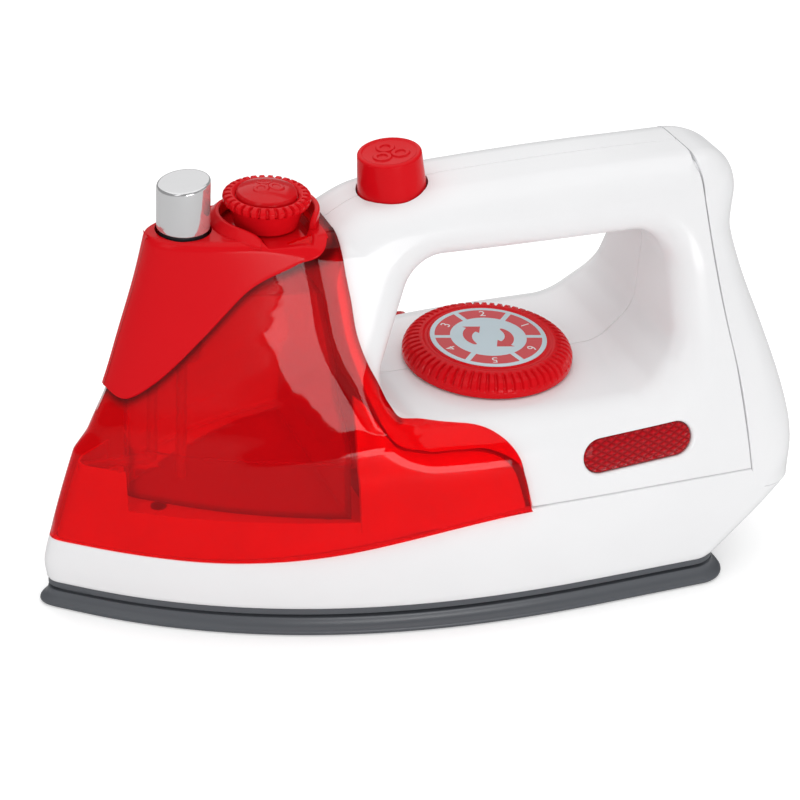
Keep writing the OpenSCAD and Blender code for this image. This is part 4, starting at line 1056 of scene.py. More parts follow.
@dataclass
class Sole(Assembly):
    """Dark grey ironing plate with its lip, flare, groove and strip."""

    height: float = 8.0
    lip: float = 2.2
    edge: tuple = (
        (0.0, 1.3), (0.12, 0.75), (0.35, 0.35), (0.7, 0.1), (1.1, 0.0), (1.5, 0.08), (1.85, 0.32), (2.1, 0.75),
        (2.35, 1.25), (2.8, 1.75), (3.5, 2.15), (4.3, 2.4), (4.85, 2.5), (5.0, 2.65), (5.05, 4.2), (6.05, 4.2),
        (6.1, 2.75), (6.25, 2.6), (8.0, 2.6), (8.0, 6.2), (2.2, 6.2),
    )
    corner: float = 9.0
    bay: tuple[float, float, float, float] = (-7.15, 60.65, -15.7, 15.7)
    bay_top: float = 2.5
    catch: tuple[float, float, float, float] = (-9.15, 1.7, -3.6, 3.6)
    catch_ends: Pair = (2.55, 7.7)
    latch_x: float = -1.9
    latch_r: float = 1.9
    speaker_x: float = -62.0
    sound: Pair = (1.0, 6.5)
    screws: tuple = ((-86.8, 0.0), (80.1, 35.6), (80.1, -35.6), (-22.3, 30.1), (-22.3, -30.1))
    hole: tuple = ((0, -1), (3, -1), (3, 1.9), (1.35, 1.9), (1.35, 9), (0, 9))
    boss: tuple = ((1.4, 2.0), (3.6, 2.0), (3.6, 8), (1.4, 8))

    def build(self) -> None:
        """Builds the plate and cuts the bay, the screw holes and the sound holes."""
        form, top = self.form, self.height + 1
        loops = []
        for z, inset in self.edge:
            tip, wide, rear = inset - form.half_length, form.half_width - inset, form.sole_rear - inset
            outline = form.plan(tip, wide, rear, self.corner)
            loops.append(np.column_stack([outline, np.full(len(outline), z)]))
        plate = tube("sole_plate", np.stack(loops))
        cutters = [prism("bay", rectangle(*self.bay), -1, self.bay_top)]
        cutters.append(cylinder("latch", self.latch_r, -1, top, (self.latch_x, 0, 0), 24))
        cutters += [turned(f"hole{k}", self.hole, (x, y, 0), 32) for k, (x, y) in enumerate(self.screws)]
        r, reach = self.sound
        cutters.append(cylinder("sound", r, -1, top, (self.speaker_x, 0, 0), 20))
        for k, a in enumerate(circle(8)):
            x, y = self.speaker_x + reach * math.cos(a), reach * math.sin(a)
            cutters.append(cylinder(f"sound{k}", r, -1, top, (x, y, 0), 20))
        carve(plate, cutters)
        bosses = [turned(f"boss{k}", self.boss, (x, y, 0), 32) for k, (x, y) in enumerate(self.screws)]
        catch = prism("catch", rectangle(*self.catch), *self.catch_ends)
        carve(catch, [cylinder("latch", self.latch_r, -1, top, (self.latch_x, 0, 0), 24)])
        self.enter(join("soleplate_look", [plate, catch, *bosses]), "sole_grey", Body.CASING, "sole", "soleplate")


@dataclass
class Band(Assembly):
    """White lower band with its floor and slanted heel."""

    foot: float = 8.0
    heel_z: float = 29.4
    end_share: float = 0.68
    strip_inset: float = 2.6
    heel_rear: float = 111.3
    seam_low: float = 94.19
    corners: Pair = (9.0, 12.0)
    wall: float = 2.0
    floor: Pair = (8.05, 10.05)
    bay: tuple[float, float, float, float] = (2.0, 61.95, -17.5, 17.5)
    shelf: Pair = (31.4425, 32.9425)
    shelf_inset: float = 2.5
    shelf_stop: float = -22.26
    wall_foot: float = 9.0
    liner_inset: float = 3.4
    liner_line: tuple = (
        (-27.2, 70.0), (-24.5, 68.0), (-22.8, 65.0), (-17.0, 56.3), (-12.0, 54.3), (-7.0, 53.3), (1.0, 53.3),
        (9.0, 52.4), (15.0, 49.5), (18.0, 45.0), (20.6, 36.0),
    )
    liner_t: float = 1.5
    skirt_inset: float = 2.3
    skirt_t: float = 0.8
    skirt_top: float = 34.6
    front_top: float = 46.0
    front_stop: float = -88.0
    post_r: float = 2.5
    post_foot: float = 9.0
    post_top: float = 15.2
    screw_posts: tuple = Sole.screws
    board_posts: tuple = ((-42, -13), (-42, 13), (-10, -13), (-10, 13))
    shelf_posts: tuple = ((-78.47, -9.25), (-78.47, 9.25), (-33.95, -28.0), (-33.95, 28.0))

    def place(self, u: Array, z: Array, t: float) -> Array:
        """Point of the band's edge: u is 0 at the nose, 1 at the side's end and 2 past the heel's corner.

        Args:
            u: place along the edge.
            z: heights.
            t: how far inside the outer surface.

        Returns:
            The points.
        """
        form = self.form
        up = np.minimum(1, (z - self.foot) / (self.heel_z + 0.1 - self.foot))
        wide, nose = form.level_half(z) - t, form.low_tip(z) + t
        stop = mix(self.end_share * form.half_length, self.seam_low, up)
        rear = mix(form.sole_rear - self.strip_inset, self.heel_rear, up) - t
        r = mix(self.corners[0], self.corners[1], up) - t
        share = np.clip(u, 0, 1)
        x = mix(nose, stop, (ease(share) + share * share) / 2)
        y = form.plan_half(x, nose, wide)
        a = np.clip(u - 1, 0, 1) * np.pi / 2
        bent = np.stack([rear - r + r * np.sin(a), wide - r + r * np.cos(a), z], -1)
        return np.where((u > 1)[..., None], bent, np.stack([x, y, z], -1))

    def grid(self, t: float) -> Array:
        """Whole ring of columns, t inside the outer surface, with a softly turned-in top edge.

        Args:
            t: how far inside the outer surface.

        Returns:
            The points.
        """
        u = np.concatenate([np.linspace(0, 1, 161), 1 + 1e-9 + np.linspace(0, 1, 17)])[:, None]
        nose_top = self.form.band_ends[0]
        rim = np.where(u <= 1, self.form.band_top(self.place(u, np.full_like(u, nose_top), 0.0)[..., 0]), self.heel_z)
        levels = np.concatenate([np.linspace(0, 0.9, 19), [0.93, 0.955, 0.975, 0.99, 1.0]])
        z = mix(self.foot, rim, levels[None, :])
        p = self.place(np.broadcast_to(u, z.shape), z, t)
        if t == 0:
            soft = turned_in(rim - z, 0.45) + turned_in(z - self.foot, 0.4)
            p[..., 1] = np.maximum(p[..., 1] - soft * np.clip(p[..., 1] / 5, 0, 1), 0)
            p[..., 0] += np.where(u < 0.2, soft * np.clip(1 - p[..., 1] / 5, 0, 1), 0)
        return np.concatenate([p, mirrored(p[:0:-1])])

    def shelf_plate(self) -> Obj:
        """Plate under the vessel, shaped like the nose.

        Returns:
            The object.
        """
        form, level = self.form, self.shelf[1] + 0.05
        nose = float(form.low_tip(level)) + self.shelf_inset
        x = mix(nose, self.shelf_stop, ease(np.arange(61) / 60))
        half = np.stack([x, form.plan_half(x, nose, form.level_half(level) - self.shelf_inset)], -1)
        return prism("shelf", both_sides(half), *self.shelf)

    def skirt(self, low: float, high: float, stop: float) -> Obj:
        """Wall close behind the tank's lower part, from height low to high and from the nose to stop.

        Args:
            low: height of its foot.
            high: height of its top.
            stop: x where it ends.

        Returns:
            The object.
        """
        form = self.form
        z = np.linspace(low, high, 13)[None, :]
        share = ease(np.arange(81) / 80)[:, None]
        grids = []
        for inset in (self.skirt_inset, self.skirt_inset + self.skirt_t):
            nose = form.low_tip(z) + inset
            x = mix(nose, stop, share)
            half = np.stack(np.broadcast_arrays(x, form.plan_half(x, nose, form.level_half(z) - inset), z), -1)
            grids.append(np.concatenate([mirrored(half[::-1]), half[1:]]))
        return skin("skirt", *grids)

    def liner_wall(self, side: Side) -> Obj:
        """Upright wall behind the tank's tail: a sheet inside the tank's surface, up to a smooth top line.

        Args:
            side: near or far.

        Returns:
            The object.
        """
        form = self.form
        x = np.linspace(self.liner_line[0][0], self.liner_line[-1][0], 81)[:, None]
        z = mix(self.shelf[0], smooth(self.liner_line, x), np.linspace(0, 1, 21)[None, :])
        grids = []
        for inset in (self.liner_inset, self.liner_inset + self.liner_t):
            wide = form.lower_half(x, z)
            wide = mix(wide, np.minimum(wide, form.upper_half(x, z)), ease((z - form.ledge_z + 4) / 4))
            y = side.value * (wide - inset)
            grids.append(np.stack(np.broadcast_arrays(x, y, z), -1))
        return skin("liner", *grids)

    def build(self) -> None:
        """Builds the band, its floor and its posts."""
        wall = skin("band", self.grid(0.0), self.grid(self.wall), True)
        u = np.concatenate([np.linspace(0, 1, 81), 1 + 1e-9 + np.linspace(0, 1, 9)])
        edge = self.place(u, np.full_like(u, self.foot), self.wall / 2)[:, :2]
        floor = prism("floor", both_sides(edge), *self.floor)
        carve(floor, [prism("bay", rectangle(*self.bay), self.floor[0] - 1, self.floor[1] + 1)])
        parts = [wall, floor, self.shelf_plate(), *(self.liner_wall(side) for side in Side)]
        parts.append(self.skirt(self.wall_foot, self.skirt_top, self.liner_line[-1][0]))
        parts.append(self.skirt(self.shelf[0], self.front_top, self.front_stop))
        rows = ((self.screw_posts, self.post_top), (self.board_posts, 15.0), (self.shelf_posts, self.shelf[1]))
        r, low = self.post_r, self.post_foot
        for places, top in rows:
            path = [(0, low), (r, low), (r, top - 0.2), (r - 0.2, top), (0, top)]
            parts += [turned("post", path, (x, y, 0), 24) for x, y in places]
        self.enter(join("base_tray_look", parts), "white_gloss", Body.CASING, "shell_white", "base_tray")


@dataclass
class Shells(Assembly):
    """The two white halves of the body and handle, with the recesses of their lenses and screws."""

    gap: float = 0.1
    parts: int = 8
    hidden_r: float = 0.5
    edge: tuple = (
        (-0.063, 0.436), (-0.153, 0.462), (-0.205, 0.546), (-0.235, 0.618), (-0.258, 0.687), (-0.27, 0.755),
        (-0.278, 0.819), (-0.262, 0.876), (-0.264, 0.909), (-0.18, 0.951), (-0.063, 0.974), (0.036, 0.987),
        (0.117, 0.991), (0.198, 0.994), (0.27, 0.996), (0.341, 0.998), (0.413, 0.999), (0.485, 1), (0.557, 1),
        (0.629, 1), (0.724, 1), (0.738, 0.914), (0.749, 0.85), (0.761, 0.779), (0.775, 0.699), (0.79, 0.618),
        (0.802, 0.554), (0.811, 0.49), (0.822, 0.426), (0.838, 0.337), (0.846, 0.287), (0.755, 0.287), (0.665, 0.287),
        (0.575, 0.287), (0.485, 0.287), (0.404, 0.287), (0.323, 0.287), (0.2, 0.286), (0.169, 0.386), (0.094, 0.43),
        (0.016, 0.436),
    )
    bends: tuple = (0, 8, 20, 21, 30, 37, 41)
    bosses: tuple = ((0.725, 0.683), (0.37, 0.916), (0.69, 0.32), (0.28, 0.34), (0.63, 0.917))
    crown_rows: tuple[int, int] = (8, 20)
    hub: Pair = (25.6, 6.05)
    bore: Triple = (-9.9, 131.3, 10.2)
    bore_lean: float = 7.4
    pocket: Pair = (2.75, 6.0)

    def edges(self) -> Array:
        """Outer edge of a shell, smooth between its bends.

        Returns:
            Points (x, z).
        """
        rows = np.array(self.edge + self.edge[:1]) * np.array([self.form.half_length, self.form.crown_z])
        runs = []
        for a, b in zip(self.bends[:-1], self.bends[1:]):
            runs.append(through(rows[a : b + 1], fractions(b - a, self.parts, False)))
        return np.concatenate(runs)

    def grid(self, t: float) -> Array:
        """Ribs from the opening's rim to the outer edge, t inside the outer surface.

        Args:
            t: how far inside the outer surface.

        Returns:
            The points.
        """
        form = self.form
        p, b = form.rim(self.parts), self.edges()
        n = len(p)
        place = np.arange(n) / self.parts
        first, last = self.crown_rows
        on_crown = np.interp(place, [first - 1, first, last, last + 0.4], [0, 1, 1, 0])[:, None]
        r2 = mix(self.hidden_r, form.crown_r, on_crown)
        crowned = ((place > last) * ease((place - last) / 0.4))[:, None]
        length = np.linalg.norm(b - p, axis=1)[:, None]
        way = (b - p) / length
        a = p + way * t
        full = length - 2 * t
        ra = form.saddle_r - t
        rb = np.maximum(r2 - t, 0.3)
        near = np.minimum(ra, 0.7 * (full - rb))
        sweep = np.arccos(1 - near / ra)
        saddle = ra * (1 - np.cos(sweep * np.arange(13) / 12))
        middle = mix(near, full - rb, np.arange(1, 25) / 24)
        crown = full - rb + rb * np.sin(np.pi / 2 * np.arange(1, 9) / 8)
        d = np.concatenate([saddle, middle, crown], 1)
        at = a[:, None, :] + way[:, None, :] * d[..., None]
        wide = form.side_half(at[..., 0], at[..., 1]) - t
        y = wide - turned_in(np.maximum(0, form.open_gap(at[..., 0], at[..., 1]) - t), ra)
        y = y - turned_in(np.maximum(0, full - d), rb)
        y = y - crowned * turned_in(np.maximum(0, form.crown_z - t - at[..., 1]), form.crown_r - t)
        body = np.stack([at[..., 0], y, at[..., 1]], -1)
        half = self.gap / 2
        soft = 0.25 if t == 0 else 0.0
        ends = []
        for base, inward in ((a, way), (a + way * full, -way)):
            flat = np.stack([base[:, 0], np.full(n, half), base[:, 1]], -1)
            sunk = flat + np.stack([inward[:, 0], np.zeros(n), inward[:, 1]], -1) * soft
            flat[:, 1] += soft
            ends.append((sunk, flat))
        (s0, f0), (s1, f1) = ends
        return np.concatenate([s0[:, None], f0[:, None], body, f1[:, None], s1[:, None]], 1)

    def build(self) -> None:
        """Builds both halves."""
        lens = Lenses(self.form, self.finishes)
        far = self.grid(0.0), self.grid(self.form.wall)
        near = tuple(mirrored(points) for points in far)
        for side, node, grids in ((Side.NEAR, "left_shell", near), (Side.FAR, "right_shell", far)):
            shell = skin(node + "_look", *grids, True)
            shell = carve(shell, self.cutters(side, lens), 30.0, True)
            self.enter(shell, "white_gloss", Body.CASING, "shell_white", node)

    def cutters(self, side: Side, lens: "Lenses") -> list[Obj]:
        """Solids taken out of one half: lens recess, hub hole, button bore and, on the far half, the screw pockets.

        Args:
            side: near or far.
            lens: cutter of the lens recess.

        Returns:
            The cutters.
        """
        cuts = [lens.recess(side)]
        x, r = self.hub
        cuts.append(cylinder("hub", r, 55, 62, (x, 0, 0)))
        x, z, r = self.bore
        lean = Matrix.Translation((x * MM, 0, z * MM)) @ Matrix.Rotation(math.radians(-self.bore_lean), 4, "Y")
        cuts.append(moved(cylinder("bore", r, -15, 5, around=96), lean))
        if side is Side.FAR:
            r, foot = self.pocket
            for k, (sx, sz) in enumerate(self.bosses):
                pocket = cylinder(f"pocket{k}", r, foot, 60, around=40)
                place = Matrix.Translation((sx * self.form.half_length * MM, 0, sz * self.form.crown_z * MM))
                cuts.append(moved(pocket, place @ Matrix.Rotation(math.radians(-90), 4, "X")))
        return cuts


@dataclass
class Lenses(Assembly):
    """Clear red side lenses in their softly edged recesses."""

    x: float = 56.3178
    z: float = 48.2
    length: float = 35.0
    height: float = 10.4
    tilt: float = 3.0
    steps: int = 24
    flare: Pair = (0.15, 1.1)
    back: tuple = ((1.4, -4.6), (1.4, -3.6), (0.0, -3.6), (0.0, -1.3), (-0.15, -0.98), (-0.5, -0.8))

    def frame(self, side: Side) -> Matrix:
        """Frame on the shell's side: z outwards, x to the rear, in metres.

        Args:
            side: near or far.

        Returns:
            The matrix.
        """
        form = self.form
        rise = float(form.side_half(self.x, self.z - 4) - form.side_half(self.x, self.z + 4)) / 8
        lean = math.degrees(math.atan(rise))
        y = side.value * float(form.side_half(self.x, self.z))
        turn = Matrix.Rotation(math.radians(-side.value * (90 - lean)), 4, "X")
        tilt = Matrix.Rotation(math.radians(-side.value * self.tilt), 4, "Z")
        return Matrix.Translation((self.x * MM, y * MM, self.z * MM)) @ turn @ tilt

    def stadium(self, grow: float) -> Array:
        """Outline of two half-circles joined by straight sides, grown outwards.

        Args:
            grow: how far it grows.

        Returns:
            Points (x, y).
        """
        r, reach = self.height / 2 + grow, (self.length - self.height) / 2
        a = np.linspace(-np.pi / 2, np.pi / 2, self.steps + 1)
        right = np.stack([reach + r * np.cos(a), r * np.sin(a)], -1)
        return np.concatenate([right, -right])

    def loft(self, name: str, rows: Sequence[Pair], angle: float = 35.0) -> Obj:
        """Solid through stadium outlines, one for each (growth, height), closed at both ends.

        Args:
            name: the piece's name.
            rows: growth and height of each outline.
            angle: edges sharper than this stay sharp.

        Returns:
            The object.
        """
        outlines = [self.stadium(grow) for grow, _ in rows]
        rings = [np.column_stack([p, np.full(len(p), z)]) for p, (_, z) in zip(outlines, rows)]
        return tube(name, np.stack(rings), angle)

    def recess(self, side: Side) -> Obj:
        """Cutter of the recess, flaring out in a quarter round at the shell's surface.

        Args:
            side: near or far.

        Returns:
            The object.
        """
        room, r = self.flare
        bend = np.linspace(0, math.pi / 2 * 0.92, 7)
        flare = [(room + r * (1 - math.cos(a)), -1.15 + r * math.sin(a)) for a in bend]
        return moved(self.loft("recess", [(room, -6.0), *flare, (1.6, 0.6), (1.6, 3.0)]), self.frame(side))

    def build(self) -> None:
        """Builds both lenses, each with a domed face and a flange behind the wall."""
        for side, node in ((Side.NEAR, "left_lens"), (Side.FAR, "right_lens")):
            face = [(-1.0 - 2.2 * k / 6, -0.72 + 0.25 * math.sin(k / 6 * math.pi / 2)) for k in range(7)]
            rows = [*self.back, *face, (-4.6, -0.45)]
            lens = moved(self.loft(node + "_look", rows, 40.0), self.frame(side))
            self.enter(lens, "lens_red", Body.CASING, "lens_red", node)


@dataclass
class RearCover(Assembly):
    """White cover over the rear of the body and the end of the handle."""

    back: tuple = (
        (1, 0.237), (0.994, 0.36), (0.972, 0.48), (0.938, 0.59), (0.893, 0.705), (0.862, 0.8),
        (0.861, 0.85), (0.866, 0.913), (0.852, 0.958), (0.82, 0.984), (0.775, 0.997), (0.727, 1),
    )
    seam: tuple = (
        (0.855, 0.237), (0.849, 0.285), (0.813, 0.504), (0.788, 0.643), (0.764, 0.779), (0.752, 0.85),
        (0.747, 0.88), (0.744, 0.895), (0.742, 0.905), (0.741, 0.914), (0.74, 0.921), (0.739, 0.928),
    )
    parts: int = 8
    corner: float = 12.0
    soft: float = 0.25
    flange: float = 3.0
    flange_t: float = 2.0

    def grid(self, t: float) -> Array:
        """Rows from the near seam round the back to the far seam, t inside the outer surface.

        Args:
            t: how far inside the outer surface.

        Returns:
            The points.
        """
        form = self.form
        scale = np.array([form.half_length, form.crown_z])
        u = fractions(len(self.seam) - 1, self.parts)
        p, b = through(np.array(self.seam) * scale, u), through(np.array(self.back) * scale, u)
        length = np.linalg.norm(b - p, axis=1)[:, None]
        way = (b - p) / length
        full = length - t
        r = np.minimum(self.corner, 0.9 * full) - t
        side = (full - r) * np.concatenate([[0, 0.012, 0.03], np.linspace(0.06, 1, 12)])
        bend = full - r + r * np.sin(np.pi / 2 * np.arange(1, 15) / 14)
        d = np.concatenate([side, bend], 1)
        at = p[:, None, :] + way[:, None, :] * d[..., None]
        level = mix(p[:, None, 1], at[..., 1], ease((u[:, None] - 5) / 5))
        wide = form.side_half(np.broadcast_to(p[:, None, 0], level.shape), level) - t
        y = wide - turned_in(np.maximum(0, full - d), r)
        if t == 0:
            y = y - turned_in(d, self.soft)
        far = np.stack([at[..., 0], y, at[..., 1]], -1)
        centre = far[:, -1:] * np.array([1.0, 0.0, 1.0])
        return np.concatenate([mirrored(far), centre, far[:, ::-1]], 1)

    def flanged(self, t: float) -> Array:
        """The grid with a flange that reaches forward under the shells along its front edges.

        Args:
            t: how far inside the outer surface.

        Returns:
            The points.
        """
        base, deep = self.grid(t), self.grid(t + self.form.wall + 0.1)
        reach = np.array([-self.flange, 0.0, 0.0])
        near, far = deep[:, :1], deep[:, -1:]
        wide = np.concatenate([near + reach, near, base, far, far + reach], 1)
        top = np.concatenate([near[-1:] + reach, near[-1:], deep[-1:], far[-1:], far[-1:] + reach], 1)
        return np.concatenate([wide, top, top + reach])

    def build(self) -> None:
        """Builds the cover."""
        cover = skin("rear_cover_look", self.flanged(0.0), self.flanged(self.flange_t))
        self.enter(cover, "white_gloss", Body.CASING, "shell_white", "rear_cover")


@dataclass
class Tank(Assembly):
    """Clear red water tank with its ledge, valley and tail, and the hazy vessel inside."""

    noses: tuple = (
        0.181, 0.235, 0.29, 0.335, 0.37, 0.392, 0.402, 0.441, 0.49, 0.543, 0.598, 0.654, 0.71, 0.765, 0.82, 0.87,
    )
    ledge_row: int = 6
    wall: float = 1.0
    columns: int = 100
    rows_each: int = 8
    levels: tuple = (0.265, 0.32, 0.38, 0.45, 0.55, 0.67, 0.79)
    vessel_front: float = -86.814
    vessel_back: Pair = (-0.245, -0.305)
    vessel_gap: float = 4.0
    vessel_insets: Pair = (5.0, 6.4)
    vessel_floor: Pair = (33.05, 34.45)
    roof_reach: float = 4.5

    def back(self, z: Array) -> Array:
        """Place of the vessel's rear wall at height z, leaning forward above the ledge."""
        form = self.form
        return form.half_length * mix(*self.vessel_back, ease((z - form.ledge_z) / (form.cover_z - form.ledge_z)))

    def row(self, place: Array, lower: bool, out: float) -> Array:
        """Rows of the tank at fractional row numbers, from the near edge round the nose to the far edge.

        Args:
            place: row numbers, whole at a given level.
            lower: whether the part below the ledge is meant.
            out: how far outside the tank's surface.

        Returns:
            The points.
        """
        form = self.form
        scale = np.array([form.half_length, form.crown_z])
        first, last = (0, self.ledge_row) if lower else (self.ledge_row + 1, len(self.noses) - 1)
        edge = through(np.array(form.tank_edge[first : last + 1]) * scale, place - first)
        noses = np.array(self.noses[first : last + 1])[:, None] * form.crown_z
        nose_z = through(noses, place - first)[:, 0]
        nose_x = form.low_tip(nose_z) if lower else form.high_tip(nose_z)
        s = ease(np.arange(self.columns + 1) / self.columns)[None, :]
        x = mix(nose_x[:, None], edge[:, :1], s)
        start = form.half_length * form.slope_ends[0]
        z = mix(nose_z[:, None], edge[:, 1:], ease((x - start) / (edge[:, :1] - start)))
        if lower:
            z = mix(form.band_top(x) + 0.05, z, np.clip(place, 0, 1)[:, None])
        half = form.lower_half if lower else form.upper_half
        y = half(x, z)
        wide = half(edge[:, :1], edge[:, 1:])
        far = np.stack([x - out * (1 - s), y * (wide + out) / wide, z], -1)
        return np.concatenate([mirrored(far[:, ::-1]), far[:, 1:]], 1)

    def grid(self, out: float) -> Array:
        """Lower wall, ledge and upper wall, with the ledge's edges rounded by averaging neighbouring rows.

        Args:
            out: how far outside the tank's surface.

        Returns:
            The points.
        """
        low = self.row(fractions(self.ledge_row, self.rows_each), True, out)
        count = len(self.noses) - self.ledge_row - 2
        high = self.row(self.ledge_row + 1 + fractions(count, self.rows_each), False, out)
        share = (np.arange(1, 10) / 10)[:, None, None]
        whole = np.concatenate([low, mix(low[-1:], high[:1], share), high])
        a, b = len(low) - 6, len(low) + 9 + 6
        for _ in range(5):
            part = whole[a - 1 : b + 1]
            whole[a:b] = (part[:-2] + 2 * part[1:-1] + part[2:]) / 4
        return whole

    def vessel(self, inset: float) -> Array:
        """Columns of the inner vessel, inset from the tank's outer surface.

        Args:
            inset: how far inside the tank's outer surface.

        Returns:
            The points.
        """
        form = self.form
        count = len(self.levels)
        z = (np.interp(fractions(count - 1, 6), range(count), self.levels) * form.crown_z)[None, :]
        low = z < form.ledge_z
        stop = self.back(z) - inset + self.vessel_gap
        tip = np.where(low, form.low_tip(z), form.high_tip(z))
        nose = np.maximum(tip + inset, self.vessel_front + inset - self.vessel_gap)
        share = (np.arange(61) / 60)[:, None]
        x = mix(nose, stop, share * share)
        reach = form.edge_x(np.maximum(z, form.ledge_z + form.ledge_rise))
        steep = mix(0.6, 0.35, (z - form.ledge_z) / (form.cover_z - form.ledge_z))
        wide = form.ring_half(reach, z) + form.proud - inset
        upper = wide * np.maximum(0, (x - nose) / (reach - nose)) ** np.where(low, 1, steep)
        y = np.where(low, form.plan_half(x, nose, form.level_half(z) - inset), upper)
        far = np.stack(np.broadcast_arrays(x, y, z), -1)
        return np.concatenate([far, mirrored(far[:0:-1])])

    def roof(self) -> Obj:
        """Strip of the tank's top between the cover and the white shells.

        Returns:
            The object.
        """
        form = self.form
        z = form.cover_z - 0.1
        x = float(form.edge_x(z)) + np.linspace(-self.roof_reach, 0, 9)
        y = form.upper_half(x, np.full_like(x, z)) + 0.05
        far = np.stack([x, y], -1)
        outline = np.concatenate([far, far[::-1] * np.array([1, -1])])
        return prism("roof", outline, z - self.wall, z)

    def shadow(self, p: Array) -> Array:
        """Dark just below the cover's lip and along the rear edge.

        Args:
            p: points in millimetres.

        Returns:
            Shadow of each point.
        """
        form = self.form
        z = np.clip(p[:, 2], form.ledge_z, form.cover_z)
        nose, stop = form.high_tip(z), form.edge_x(z)
        s = np.clip((p[:, 0] - nose) / (stop - nose), 0, 1)
        lip = form.crown_z * smooth(TopCover.low, s)
        under = hump(lip - 0.4 - p[:, 2], 2.1) * (p[:, 2] > form.ledge_z)
        rear = hump(stop - p[:, 0], 1.1) * (p[:, 2] > form.ledge_z + 12)
        return np.clip(under + 0.6 * rear, 0, 0.95)

    def edges(self, p: Array) -> Array:
        """Dark along the vessel's foot, its front and its rear corners.

        Args:
            p: points in millimetres.

        Returns:
            Shadow of each point.
        """
        x, z = p[:, 0], p[:, 2]
        foot = hump(z - self.levels[0] * self.form.crown_z, 1.1)
        rear = hump(self.back(z) - 1.0 - x, 0.9)
        front = hump(x - self.vessel_front - 2.4, 1.0) * (z < self.form.ledge_z)
        return np.clip(0.9 * foot + 0.9 * rear + 0.6 * front, 0, 1)

    def build(self) -> None:
        """Builds the tank and the vessel."""
        tank = join("tank_look", [skin("wall", self.grid(0.0), self.grid(-self.wall)), self.roof()], 60.0)
        self.enter(paint_shadow(tank, self.shadow), "tank_red", Body.CASING, "tank_red", "tank_shell")
        outer, inner = self.vessel_insets
        wall = skin("vessel_wall", self.vessel(outer), self.vessel(inner), True)
        floor = prism("vessel_floor", self.vessel((outer + inner) / 2)[:, 0, :2], *self.vessel_floor)
        vessel = paint_shadow(join("reservoir_look", [wall, floor]), self.edges)
        self.enter(vessel, "reservoir_haze", Body.CASING, "reservoir_clear", "reservoir")


